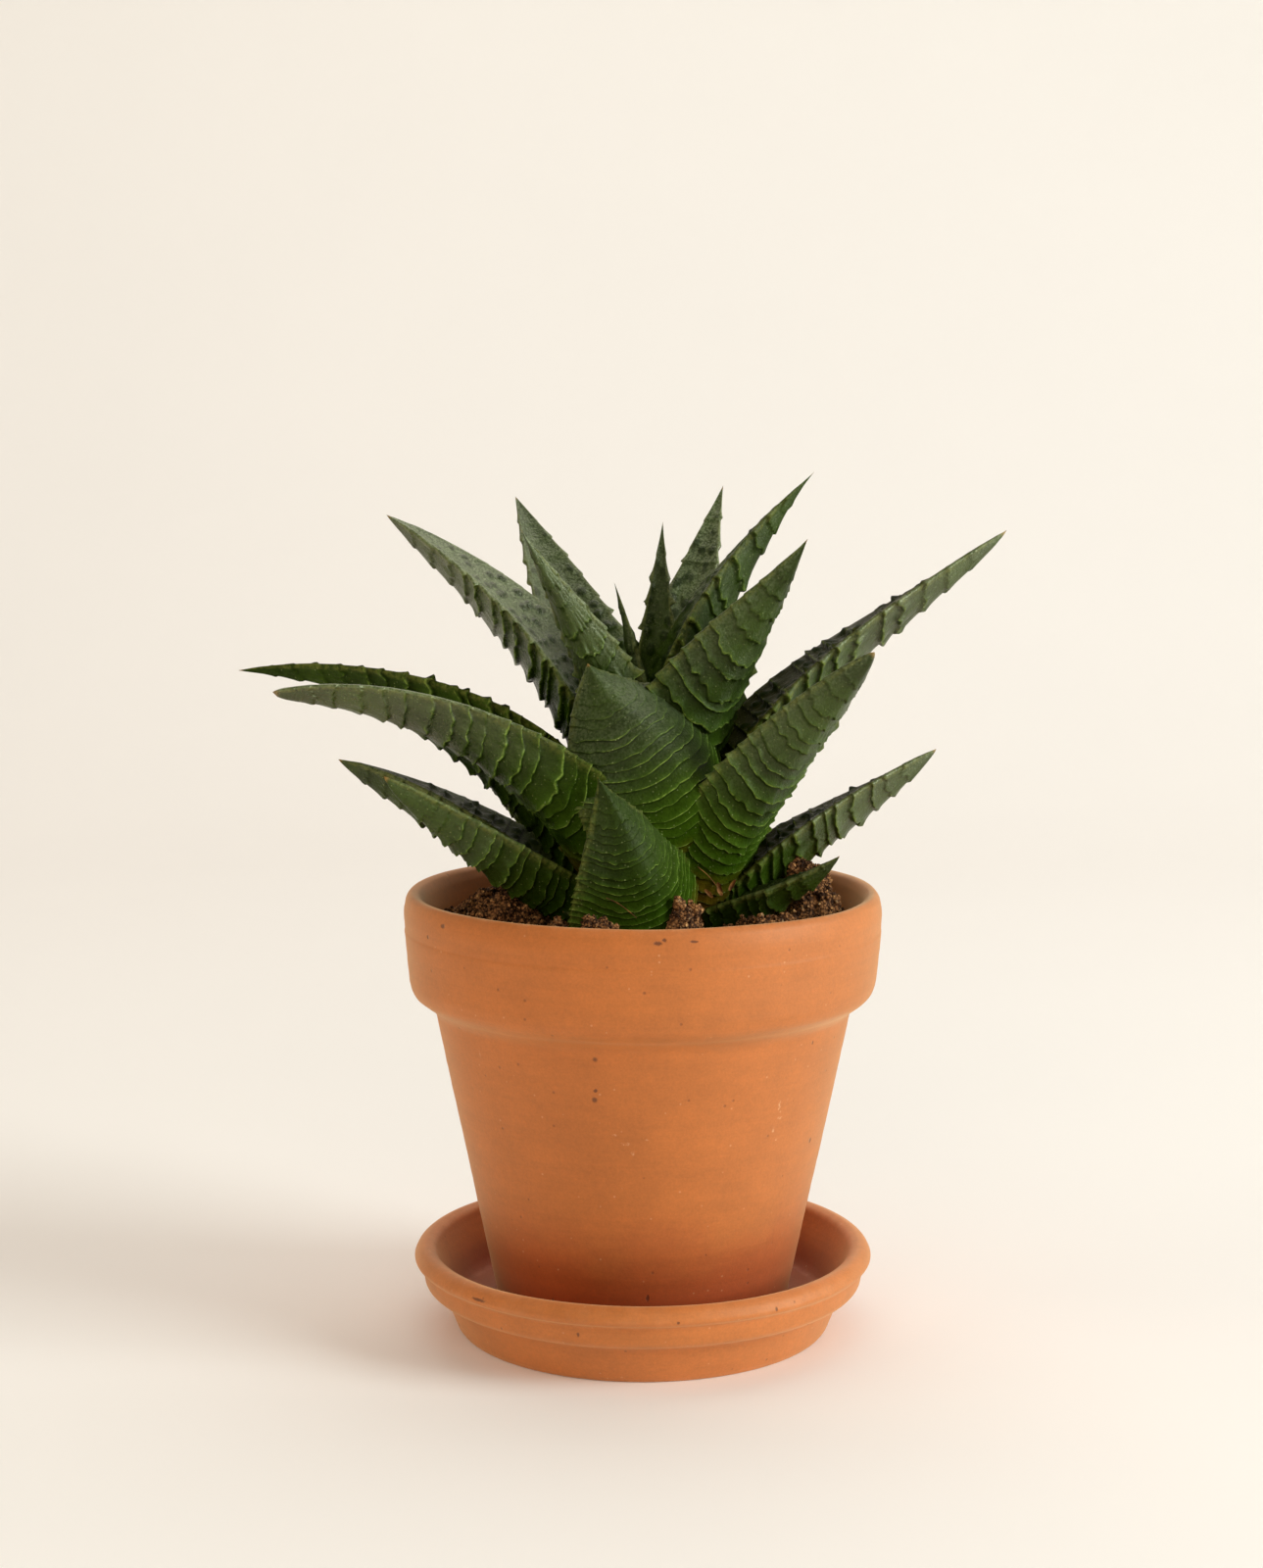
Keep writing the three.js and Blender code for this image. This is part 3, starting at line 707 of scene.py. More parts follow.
# %% Scattered crumbs
def scatter(name, count, sizes, lift, seed, fine=False):
    """Crumbs of sizes (least, most) mm lying on the soil, thicker on the heaps and round the edge."""
    chance = np.random.default_rng(seed)
    ball, triangles = split_ball(BALL_POINTS, BALL_FACES) if fine else (BALL_POINTS, BALL_FACES)
    radius = (SOIL_EDGE - 0.6) * np.sqrt(chance.random(count * 3))
    turn = chance.random(count * 3) * 2 * np.pi
    x, y = radius * np.cos(turn), radius * np.sin(turn)
    height = soil_height(x, y)
    keep = chance.random(count * 3) < 0.25 + 0.75 * np.clip((height - SOIL_TOP) / 6 + 0.2, 0, 1)
    x, y, height = x[keep][:count], y[keep][:count], height[keep][:count]
    size = sizes[0] + (sizes[1] - sizes[0]) * chance.random(len(x)) ** 2.2
    size = np.minimum(size, 2 * (SOIL_EDGE + 0.1 - np.hypot(x, y)))
    shape = ball[None] * (0.62 + 0.38 * chance.random((len(x), 1, 3)))
    offset = chance.random((len(x), 1, 3)) * 100
    shape = shape * (1 + 0.42 * rough(shape * 2.6 + offset, 1.0, seed, 2, 0.7)[..., None])
    angle = chance.random(len(x)) * 2 * np.pi
    cos, sin = np.cos(angle)[:, None], np.sin(angle)[:, None]
    u, v = shape[..., 0], shape[..., 1]
    shape = np.stack([u * cos - v * sin, u * sin + v * cos, shape[..., 2]], axis=-1)
    centre = np.stack([x, y, height + lift * size / 2], axis=-1)
    points = (shape * size[:, None, None] / 2 + centre[:, None]).reshape(-1, 3)
    faces = (triangles[None] + np.arange(len(x))[:, None, None] * len(ball)).reshape(-1, 3)
    tone = np.repeat(chance.random(len(x)), len(ball))
    return make_piece(name, points, [faces], "soil", tone=tone)


clods = scatter("soil_clods", 380, (1.4, 3.4), 0.3, 71, fine=True)
crumbs = scatter("soil_crumbs", 2200, (0.8, 2.0), 0.5, 72, fine=True)
grit = scatter("soil_grit", 9500, (0.35, 1.0), 0.8, 73)

# %% [markdown]
# ## Soil finish
# Each crumb carries its own tone, so the heap reads as many crumbs and not as one painted lump. The colours
# go from dark peat through brown to a few pale golden grains, which are partly painted highlight for glints.
# The gaps between the grains are darkened with painted shade.

# %% Soil material
SOIL_EARTH, w, shader = material("potting_mix", 0.95, 0.2)
where = w.place()
grain = w.group(GRAIN, Place=where, Fineness=1300.0, Contrast=0.35)
lot = w.add("ShaderNodeSeparateColor", {0: w.cells(where, 1400.0, "Color")})
between = w.remap(w.cells(where, 1400.0), 0.3, 0.75, 0.0, 1.0)
tone = w.plus(w.times(w.fact("tone"), 0.5), w.times(lot, 0.55))
# Darker where the grains leave gaps: painted shade in the crevices.
tone = w.minus(tone, w.times(between, 0.3))
brown = w.mix(w.remap(tone, 0.1, 0.75), linear(60, 38, 24), linear(164, 112, 68))
# The palest grains turn pale golden: partly real pale grit, partly painted highlight for glints.
brown = w.mix(w.remap(tone, 0.75, 1.0), brown, linear(228, 174, 112))
pale = w.group(SPECKS, Place=where, Fineness=900.0, Share=0.1, Width=0.4)["Mask"]
brown = w.mix(w.times(pale, 0.6), brown, linear(218, 180, 132))
w.put(shader["Base Color"], w.shaded(brown, grain["Shade"]))
lumps = w.minus(w.times(grain["Height"], 0.5), w.times(between, 0.7))
w.put(shader["Normal"], w.bump(lumps, 1.0, 0.5))
for piece in (soil, clods, crumbs, grit):
    piece.data.materials.append(SOIL_EARTH)

# %% [markdown]
# ## The leaf's form
# A haworthia leaf is a thick blade: dished above, keeled below, with a point. Here it is a section that
# runs along a curved spine. The numbers are the CAD leaf's own, so the fine leaf lies where the CAD leaf
# does. Bearing and swing say where root and tip point, seen from above; start, seat, reach and height place
# them; rise and end are the slopes there; roll and twist turn the upper face; point, belly and waist shape
# the outline. The count of ridges is the real one, finer than the CAD can carry.

# %% Leaf table
LEAF_KEYS = "bearing swing start reach height seat rise end".split()
LEAF_KEYS += "width depth roll twist point belly waist ridges".split()
LEAVES = {
    "front_low": (262.7, -8.8, 18.1, 40.6, 131.6, 93.1, 50.2, 50.4, 33.3, 12.8, 35.5, 22, 1.39, 1.81, 0.3, 28),
    "low_left_front": (215.4, 0, 8, 69.1, 131.8, 97, 26, 30, 18.5, 8, 5, 2, 0.82, 1.12, 0.25, 20),
    "low_right_front": (327.9, -1, 6, 49.1, 112.9, 93, 34, 34, 15.5, 7, 5, 2, 0.98, 1.18, 0.25, 14),
    "left_long": (245.1, -39.2, 5.6, 88.6, 149.5, 101.8, 53.2, -9, 29.6, 9.6, 3, 4, 0.61, 0.25, 0.2, 25),
    "right_broad": (313.8, 7.5, 9, 60.4, 157.9, 96.5, 64.8, 40.2, 27.1, 8.8, -13.5, -6.3, 0.69, 0.56, 0.25, 25),
    "front_middle": (291.2, -57.7, 6.7, 23, 154.1, 112.7, 44.5, 66.3, 26, 10, 36.1, 26, 1.19, 5, 0.4, 25),
    "left_steep": (220.8, 3, 2, 38.5, 183.5, 112.7, 97, 54, 20, 6, 30, 5, 1.2, 1.06, 0.25, 18),
    "right_steep": (330.4, 0, 2, 39.3, 181.2, 110.4, 99, 54, 30.4, 10.2, -27, 2, 1.16, 1.57, 0.25, 20),
    "right_tall": (13, -3, 2, 38, 195.6, 117, 120, 41, 20.8, 11.7, 2, -13, 1.5, 2.8, 0.25, 18),
    "heart_small": (200, -1, 2, 8.4, 171, 118, 104, 70, 7, 3, -4, -1, 1.08, 1.04, 0.25, 8),
    "heart_tall": (78, 0, 9, 15, 184.2, 116, 102, 75, 13.4, 6, 4, 1, 1.13, 1.1, 0.25, 12),
    "left_raised": (159, 3, 2, 63.9, 185.6, 113, 88, 25, 21, 12, -8, 0, 1, 1.7, 0.25, 22),
    "right_long": (3.9, 1, 6, 81.3, 182.4, 108.5, 79, 34, 22, 8.5, 18, -32, 0.93, 1.24, 0.25, 20),
    "low_right": (0.2, -2, 6, 64.7, 133.5, 92, 52, 29, 22.4, 9.5, 13, -25, 0.93, 1.26, 0.25, 18),
    "left_far": (169.7, 0, 6, 97, 149.7, 105.5, 87, -7, 20, 9, 17, 1, 1.06, 1.1, 0.25, 24),
    "low_left": (175.6, 3, 6, 70.7, 130.7, 96.7, 37, 13, 22.4, 11, -5, 12, 0.96, 1.6, 0.25, 18),
    "left_under": (176.9, 0, 2, 62.7, 141.9, 97, 55, 8, 21, 9, 0, 0, 1.05, 1.1, 0.25, 18),
    "back_left": (119.4, 0, 2, 66.5, 189.4, 111, 74, 44, 25, 7, -9, -3, 0.99, 1.26, 0.25, 18),
    "back_right": (61, 1, 2, 37.5, 192.3, 112.5, 93, 57, 21.7, 6, 5, 1, 1.08, 1.17, 0.25, 15),
    "rear_middle": (84.8, 0, 2, 51, 149.4, 107, 70, 40, 22, 9, 0, 0, 1.05, 1.2, 0.25, 18),
    "rear_right": (43.4, 0, 6, 48.9, 145.7, 103, 62, 32, 22, 9, 0, 0, 1.05, 1.2, 0.25, 18),
    "rear_left": (108.8, 0, 6, 51.3, 146, 102, 62, 42, 21, 9, 0, 0, 1.05, 1.2, 0.25, 18),
    "rear_low_left": (134, 0, 6, 64.6, 127.7, 97, 42, 20, 21, 9, 0, 0, 1, 1.2, 0.25, 18),
    "rear_low_right": (64.5, 0, 6, 68.9, 116.5, 94, 30, 18, 21, 9, 0, 0, 1, 1.2, 0.25, 18),
    "rear_low_middle": (98.5, 0, 6, 56, 117.5, 95, 28, 14, 21, 9, 0, 0, 1, 1.2, 0.25, 18),
    "rear_low_side": (31.9, 0, 6, 51.3, 110.5, 91.5, 24, 16, 18, 8, 0, 0, 1, 1.2, 0.25, 15),
    "old_front": (224.9, 0, 4, 27.2, 99.4, 90, 16, 22, 15, 6, 0, 0, 1, 1.1, 0.25, 8),
}
# How waxy a leaf is, which sets its gloss and how much painted sheen it gets; how far its ridges run towards
# the tip from the keel out to the margins, and how far they sag between the two; and how high the ridges are
# on its upper face, and how much painted shade, with a brown tint, darkens that face.
SKIN = {
    "front_low": (0.15, 0.15, 0.25, 0, 0),
    "left_long": (0.9, 0.09, 0.05, 0, 0),
    "right_broad": (0.45, 0.1, 0.1, 0, 0),
    "front_middle": (0.4, 0.24, 0.3, 0, 0),
    "left_steep": (0.6, 0.1, 0.1, 0.3, 0),
    "right_steep": (0.4, 0.12, 0, 0.3, 0),
    "right_tall": (0.25, 0.09, 0.1, 0.3, 0),
    "heart_small": (0.5, 0.09, 0.1, 0.3, 0),
    "heart_tall": (0.95, 0.09, 0.1, 0, 0),
    "left_raised": (1, 0.09, 0.1, 0, 0),
    "right_long": (0.8, 0.09, 0.1, 0.7, 0.9),
    "low_right": (0.75, 0.09, 0.1, 0.7, 0.9),
    "left_far": (0, 0.09, 0, 0.8, 0.9),
    "low_left": (0.4, 0.09, 0.1, 0.5, 0.6),
    "back_left": (0.75, 0.09, 0.1, 0.3, 0),
    "back_right": (1, 0.09, 0.1, 0.4, 0),
}
USUAL_SKIN = (0.4, 0.09, 0.1, 0.3, 0.3)
PLANT_X = 1.5  # the plant stands a little off the pot's axis
REACH = 0.36  # how far the end slopes hold, as a share of the leaf's length
MARGIN = 0.9  # thickness of the leaf's edge
CHANNEL = 0.1  # how deep the upper face is dished, as a share of the width
WAIST_END = 0.22  # how far up the leaf the narrow root reaches
print(f"{len(LEAVES)} leaves")

# %% [markdown]
# ## The leaf's spine
# A leaf bends along one smooth line from root to tip. A cubic curve draws it: its ends are known, and the
# slopes at the ends give its two middle points. Every place on it also gets an across direction, which
# stays level, and an upper-face direction. The roll then turns both about the line.


# %% The spine and its frame
def heading(bearing, slope):
    turn, climb = np.radians(bearing), np.radians(slope)
    flat = np.cos(climb)
    return np.stack([np.cos(turn) * flat, np.sin(turn) * flat, np.sin(climb) + 0 * turn], axis=-1)


def unit(vectors):
    return vectors / np.linalg.norm(vectors, axis=-1, keepdims=True)


def rolled(vectors, about, degrees):
    """The vectors turned about unit directions that stand square to them."""
    angle = np.radians(degrees)[..., None]
    return vectors * np.cos(angle) + np.cross(about, vectors) * np.sin(angle)


def leaf_frame(leaf, along):
    """Place, across and upper-face directions at shares of the leaf's length. Shapes follow along's."""
    tip_bearing = leaf["bearing"] + leaf["swing"]
    middle = np.array([PLANT_X, 0, 0])
    root = middle + heading(leaf["bearing"], 0) * leaf["start"] + [0, 0, leaf["seat"]]
    tip = middle + heading(tip_bearing, 0) * leaf["reach"] + [0, 0, leaf["height"]]
    pull = np.linalg.norm(tip - root) * REACH
    leaving = root + heading(leaf["bearing"], leaf["rise"]) * pull
    arriving = tip - heading(tip_bearing, leaf["end"]) * pull
    t = along[..., None]
    place = (1 - t) ** 3 * root + 3 * (1 - t) ** 2 * t * leaving + 3 * (1 - t) * t**2 * arriving + t**3 * tip
    slope = (1 - t) ** 2 * (leaving - root) + 2 * (1 - t) * t * (arriving - leaving) + t**2 * (tip - arriving)
    forward = unit(slope)
    level = heading(leaf["bearing"] + leaf["swing"] * along + 90, np.zeros_like(along))
    upper = unit(np.cross(forward, level))
    across = np.cross(upper, forward)
    roll = leaf["roll"] + leaf["twist"] * along
    return place, rolled(across, forward, roll), rolled(upper, forward, roll)


def half_width(leaf, along):
    root = 1 - leaf["waist"] * np.clip(1 - along / WAIST_END, 0, None) ** 2
    return leaf["width"] / 2 * (1 - along) ** leaf["point"] * (1 + leaf["belly"] * along) * root


def keel_depth(leaf, along):
    return leaf["depth"] * (1 - along) ** (leaf["point"] * 0.85) * (1 + leaf["belly"] * 0.7 * along)


# %% [markdown]
# ## Ridges
# Each ridge is a low wall across the back of the leaf: a short steep side towards the root, a thin crest,
# pale and with a painted highlight, and a long slope towards the tip. Its ends stand out from the margins as
# small teeth. The rows of points crowd together at the steep side, where the form changes fastest. The upper
# face has round warts.

# %% Ridges, notches and bumps
# Where the rows lie between one ridge and the next, and how high the ridge is there.
RIDGE_ROWS = [(0.0, 0.0), (0.07, 0.72), (0.13, 1.0), (0.22, 0.86), (0.4, 0.52), (0.62, 0.26), (0.84, 0.08)]
CREST = 0.13
FIRST_RIDGE, LAST_RIDGE, CROWDING = 0.045, 0.93, 1.4
BACK_POINTS, FACE_POINTS, EDGE_POINTS = 45, 31, 4
FOOT_ROWS, LAST_ROWS = [0.0, 0.016, 0.03], [0.955, 0.966, 0.976, 0.985, 0.992]


def ridge_places(count, seed):
    order = np.arange(count)
    uneven = 0.3 * lattice(np.stack([order, 0 * order, 0 * order], -1), seed)
    return FIRST_RIDGE + (LAST_RIDGE - FIRST_RIDGE) * ((order + 0.5 + uneven) / count) ** CROWDING


def leaf_rows(count, seed):
    """For every row: place along the leaf, ridge number, part of the way to the next ridge, height, gap."""
    places = ridge_places(count, seed)
    gaps = np.diff(np.append(places, LAST_ROWS[0]))
    rows = [(along, 0, 0.0, 0.0, gaps[0]) for along in FOOT_ROWS]
    for number, (place, gap) in enumerate(zip(places, gaps)):
        rows += [(place + gap * part, number, part, lift, gap) for part, lift in RIDGE_ROWS]
    rows += [(along, count, 0.0, 0.0, gaps[-1]) for along in LAST_ROWS]
    return [np.array(column, float)[:, None] for column in zip(*rows)]


def leaf_section():
    """Round the section: across (-1 to 1), back (1) or face (0), the edge's angle, whether it is the edge."""
    spread = np.linspace(-1, 1, BACK_POINTS)
    back = [(s + 0.08 * math.sin(math.pi * s), 1, -90 if abs(s) == 1 else 0, abs(s) == 1) for s in spread]
    edge = [math.degrees(a) for a in np.linspace(-math.pi / 2, math.pi / 2, EDGE_POINTS + 2)[1:-1]]
    right = [(1, 0.5 - a / 180, a, True) for a in edge]
    face = [(s, 0, 90, abs(s) == 1) for s in np.linspace(1, -1, FACE_POINTS)]
    left = [(-1, 0.5 - a / 180, a, True) for a in edge[::-1]]
    return [np.array(column, float)[None] for column in zip(*(back + right + face + left))]


def ridge_waves(across, number, part, scale, seed):
    """Noise that runs along each ridge and blends into the next ridge's on the way there."""
    here = waves(np.stack(np.broadcast_arrays(across * scale, number * 7.3, 0.0), -1), 1.0, seed)
    beyond = waves(np.stack(np.broadcast_arrays(across * scale, (number + 1) * 7.3, 0.0), -1), 1.0, seed)
    return here * (1 - part) + beyond * part


def warts(x, y, size, seed):
    """Round bumps, 0 to 1, one in most cells of a loose grid."""
    cell = np.stack([np.floor(x / size), np.floor(y / size), 0 * x], -1).astype(np.int64)
    highest = np.zeros_like(x)
    for step in np.ndindex(3, 3):
        near = cell + [step[0] - 1, step[1] - 1, 0]
        middle_x = near[..., 0] + 0.5 + 0.38 * lattice(near, seed)
        middle_y = near[..., 1] + 0.5 + 0.38 * lattice(near, seed + 1)
        away = (x / size - middle_x) ** 2 + (y / size - middle_y) ** 2
        there = lattice(near, seed + 2) > -0.45
        highest = np.maximum(highest, there * np.exp(-away / 0.06))
    return highest


# %% [markdown]
# ## The leaf mesh
# Rows along the spine and points round the section make one grid, closed by a point at the root and one at
# the tip. The keel, the dished face and the rounded edge are short formulas, and ridges, teeth and warts
# are added to them. A displacement map could do the ridges, but real points also give the toothed outline.
# What the finish wants to know, such as where the crests are, is kept on the points.

# %% Leaf mesh
RIDGE_HEIGHT = 0.29  # as a share of the gap to the next ridge
HIGHEST_RIDGE, LOWEST_RIDGE = 1.25, 0.28
TOOTH = 0.6  # how far a ridge's end stands out from the leaf's margin
WART_SPACING, WART_HEIGHT = 3.8, 0.95
SKIN_ROUGHNESS = 0.06


def bent_rows(rows, section, skin, seed):
    """How far along the leaf each point lies. Ridges sweep, sag, wander a little and break into scallops."""
    row_along, number, part, _, gap = rows
    s, back = section[:2]
    _, sweep, sag, _, _ = skin
    wander = 0.16 * ridge_waves(s, number, part, 1.5, seed)
    wander = wander + 0.1 * ridge_waves(s, number, part, 13.0, seed + 1)
    wander = wander + 0.3 * (np.abs(ridge_waves(s, number, part, 5.0, seed + 5)) - 0.3)
    bend = np.where(back > 0.5, s**2 - sag * np.sin(np.pi * s) ** 2, 1)
    shift = sweep * (bend - 0.4) * (1 - row_along) * np.minimum(1, row_along / 0.1)
    inner = (row_along < LAST_ROWS[0]) * np.clip(row_along / 0.1, 0, 1)
    return np.clip(row_along + shift + gap * wander * np.clip(back * 2, 0, 1) * inner, 0, 0.996)


def brokenness(s, number, part, seed):
    """How high a ridge is at each point, as a share: it varies along the ridge and from ridge to ridge."""
    broken = 0.85 + 0.3 * ridge_waves(s, number, part, 6.0, seed + 1)
    broken = broken + 0.5 * ridge_waves(s, number, part, 14.0, seed + 2)
    return np.clip(broken + 0.35 * ridge_waves(0 * s, number, part, 0.0, seed + 6), 0.12, 1.5)


def leaf_piece(name, values, seed):
    leaf = dict(zip(LEAF_KEYS, values))
    skin, rows, section = SKIN.get(name, USUAL_SKIN), leaf_rows(leaf["ridges"], seed + 7), leaf_section()
    wax_and_sheen, _, _, face_ridges, face_shade = skin
    _, number, part, lift, gap = rows
    s, back, edge_angle, on_edge = section
    strength = np.clip(back * 2, 0, 1)
    line = leaf_frame(leaf, np.linspace(0, 1, 60))[0]
    length = np.linalg.norm(np.diff(line, axis=0), axis=1).sum()
    along = bent_rows(rows, section, skin, seed)
    place, side_way, up_way = leaf_frame(leaf, along)
    half = half_width(leaf, along)
    # The ridges are low at the root and towards the tip.
    foot = np.clip((along - 0.02) / 0.12, 0, 1)
    fade = foot * foot * (3 - 2 * foot) * np.clip((0.97 - along) / 0.4, 0, 1) ** 0.8
    broken = brokenness(s, number, part, seed)
    cover = strength + face_ridges * (1 - strength)
    ridge = np.clip(RIDGE_HEIGHT * gap * length, LOWEST_RIDGE, HIGHEST_RIDGE) * lift * fade * broken * cover
    near_edge = np.exp(-(((np.abs(s) - 1) / 0.06) ** 2))
    tooth = TOOTH * lift * fade * strength * near_edge * np.clip(broken, 0.5, 1.2)
    # The section: a keel below, a shallow dish above and a round edge between them.
    thin = MARGIN / 2 * np.minimum(1, half / 2)
    hollow = 1 - s**2
    bulge = np.radians(edge_angle)
    side = s * (half - thin * 0.6 + 0.8 * ridge) + np.sign(s) * (on_edge * thin * 0.6 * np.cos(bulge) + tooth)
    keel = 1 - (np.abs(s) ** 2 + 0.002) ** 0.8
    below = -keel_depth(leaf, along) * keel - thin - ridge * (1 - 0.6 * np.abs(s))
    above = thin - 2 * CHANNEL * half * hollow + ridge * np.clip(4 * hollow, 0, 1)
    height = np.where(back == 1, below, np.where(back == 0, above, thin * np.sin(bulge)))
    points = place + side_way * side[..., None] + up_way * height[..., None]
    wart = warts(s * half, along * length, WART_SPACING, seed + 3)
    wart = wart * (back == 0) * np.clip(4 * hollow, 0, 1) * fade
    points = points + up_way * (WART_HEIGHT * wart + SKIN_ROUGHNESS * waves(points, 1.6, seed + 4))[..., None]
    count, columns = along.shape
    tip = leaf_frame(leaf, np.array([1.0]))[0][0]
    foot_place, _, foot_up = leaf_frame(leaf, np.array([0.0]))
    points = np.vstack([points.reshape(-1, 3), tip, foot_place[0] - foot_up[0] * keel_depth(leaf, 0) / 2])
    faces = [
        grid_faces(count, columns),
        fan_faces(0, columns, len(points) - 1, False),
        fan_faces((count - 1) * columns, columns, len(points) - 2, True),
    ]
    # The facts that the finish reads, each with its values at the tip and at the root's end.
    crest = np.exp(-(((part - CREST) / 0.07) ** 2)) * (lift > 0) * fade * np.clip(broken, 0, 1) * cover
    facts = {
        "along": (along, 1, 0),
        "crest": (crest, 0, 0),
        "dark": (face_shade * (1 - strength), 0, 0),
        "lit_shelf": (lift * fade * cover * np.clip(broken, 0.3, 1), 0, 0),
        "margin": (np.clip((np.abs(s) - 0.9) / 0.1, 0, 1), 1, 0),
        "step": (np.exp(-((part / 0.05) ** 2)) * fade * np.clip(broken, 0, 1) * cover, 0, 0),
        "wart": (wart, 0, 0),
        "band": (np.clip((np.abs(s) - 0.35) / 0.4, 0, 1) * strength, 0, 0),
        "wax_and_sheen": (wax_and_sheen * np.ones_like(along), wax_and_sheen, wax_and_sheen),
    }
    facts = {k: np.append((v * np.ones_like(along)).ravel(), ends) for k, (v, *ends) in facts.items()}
    return make_piece(f"fine_{name}", points, faces, "leaf", [f"leaf_{name}"], **facts)


leaves = {name: leaf_piece(name, values, 100 + 10 * i) for i, (name, values) in enumerate(LEAVES.items())}

# %% [markdown]
# ## Leaf finish
# The skin is a deep green. Where it faces up it is greyed: painted sheen, a reflection of the bright space
# above, and partly a waxy bloom. It is yellow-green where the leaf leaves the stem and dries to tan at the
# point. Ridge crests and margins are paler, and fine pale specks sit on them; the crests also carry a painted
# highlight. Painted shade darkens the steep side of each ridge, the flanks of the warts and some upper faces,
# and painted light brightens each ridge's ledge. All of this is mixed from the facts that the leaf mesh
# carries, one layer over the other. A painted picture could do it too, but facts on the points follow each
# ridge exactly.

# %% Leaf greens
DEEP_GREEN, LIVELY_GREEN, ROOT_GREEN = linear(28, 42, 4), linear(46, 64, 10), linear(46, 76, 3)
LIT_LEDGE_GREEN, SHADOW_GREEN, CREST_GREEN = linear(76, 106, 30), linear(12, 22, 2), linear(150, 172, 78)
LEAF_SKIN, w, shader = material("leaf_skin")
shader["Specular Tint"].default_value = (1.0, 0.97, 0.66, 1)  # the wax on the skin is a little yellow
where = w.place()
along, crest, step, wart = (w.fact(label) for label in ("along", "crest", "step", "wart"))
dark, lit_shelf, margin, band, wax_and_sheen = (w.fact(label) for label in ("dark", "lit_shelf", "margin", "band", "wax_and_sheen"))
cloud = w.remap(w.noise(where, 60.0, 4.0), 0.3, 0.7)
green = w.mix(cloud, DEEP_GREEN, LIVELY_GREEN)
root = w.minus(1.0, w.remap(w.plus(along, w.times(cloud, 0.08)), 0.04, 0.5))
green = w.mix(w.times(root, 0.7), green, ROOT_GREEN)
# Lighter green on each ridge's ledge: painted light where the ledge catches the light.
green = w.mix(w.times(w.times(lit_shelf, lit_shelf), 0.5), green, LIT_LEDGE_GREEN)
# Upper faces given a shade value are darker and browner: painted shade where they turn from the light.
green = w.mix(w.times(dark, 0.8), green, linear(44, 38, 14))
yellow = w.minus(1.0, w.remap(w.plus(along, w.times(cloud, 0.06)), 0.1, 0.27))
green = w.mix(w.times(yellow, 0.8), green, linear(98, 62, 14))

# %% Ridge lines and specks
fine = w.noise(where, 900.0, 3.0)
green = w.mix(w.times(step, 0.6), green, SHADOW_GREEN)
# The pale crest line is partly the ridge's own colour and partly a painted highlight, broken up by fine noise.
ridge_line = w.times(w.remap(crest, 0.25, 1.0), w.remap(fine, 0.36, 0.6, 0.15, 1.0))
green = w.mix(w.times(ridge_line, 0.62), green, CREST_GREEN)
green = w.mix(w.times(margin, w.remap(fine, 0.35, 0.65, 0.05, 0.4)), green, linear(124, 124, 58))
specks = w.group(SPECKS, Place=where, Fineness=1500.0, Share=0.16, Width=0.34)["Mask"]
specks = w.times(specks, w.plus(0.25, w.times(crest, 0.75)))
green = w.mix(w.times(specks, 0.6), green, linear(196, 204, 140))

# %% Painted sheen and bloom, warts and tip
# A grey-green on faces that point up: painted sheen, a reflection of the bright space above, partly a waxy
# bloom.
facing_up = w.add("ShaderNodeSeparateXYZ", {0: w.add("ShaderNodeNewGeometry", output="Normal")}, 2)
upward_sheen = w.higher(w.remap(facing_up, 0.0, 0.6), w.times(band, w.remap(facing_up, -0.5, 0.2)))
sheen_and_bloom = w.times(upward_sheen, w.remap(w.noise(where, 1700.0, 2.0), 0.4, 0.6, 0.3, 1.0))
sheen_and_bloom = w.times(w.times(sheen_and_bloom, wax_and_sheen), w.remap(along, 0.3, 0.7))
sheen_and_bloom = w.times(sheen_and_bloom, w.minus(1.0, dark))
green = w.mix(w.times(sheen_and_bloom, 0.6), green, linear(134, 144, 106))
# The flanks of the warts are darker: painted shade beside each wart.
wart_shade = w.times(w.remap(wart, 0.06, 0.3), w.remap(wart, 0.6, 0.9, 1.0, 0.0))
green = w.mix(w.times(wart_shade, 0.75), green, linear(24, 38, 8))
tip = w.remap(w.plus(along, w.times(cloud, 0.006)), 0.986, 1.0)
green = w.mix(w.times(tip, 0.7), green, linear(158, 116, 62))

# %% Gloss and grain
skin = w.group(GRAIN, Place=where, Fineness=1900.0, Contrast=0.36)
w.put(shader["Base Color"], w.shaded(green, skin["Shade"]))
gloss = w.times(w.remap(wax_and_sheen, 0.0, 1.0, 0.12, 1.0), w.remap(along, 0.3, 0.75, 0.02, 1.0))
w.put(shader["Specular IOR Level"], w.times(gloss, w.minus(1.0, dark)))
w.put(shader["Roughness"], w.minus(w.remap(fine, 0.3, 0.7, 0.46, 0.6), w.times(wax_and_sheen, 0.22)))
w.put(shader["Normal"], w.bump(skin["Height"], 1.0, 0.35))
for leaf in leaves.values():
    leaf.data.materials.append(LEAF_SKIN)

# %% [markdown]
# ## Dry bits
# Old leaves leave papery brown scales round the plant's foot, and a few dry root fibres poke out of the
# mix. A scale is a ball pressed flat and curled. A fibre is a thin tube along a bent line. They could be
# left out, but such litter at the foot belongs to a grown plant.

# %% Scales and fibres
# Middle of each scale (mm), its lean in degrees, length and width; then each fibre's ends and its rise.
SCALES = [
    ((16.8, -19.2, 104.4), 16, 3.4, 1.1),
    ((19.6, -18.7, 105.2), -30, 2.8, 0.9),
    ((14.4, -20.2, 103.6), 38, 2.6, 1.0),
]
FIBRES = [((12, -20.6, 109.5), (17.5, -21, 103.5), 0.4), ((-8, -36.4, 105.4), (-1.5, -37.2, 101), 0.5)]


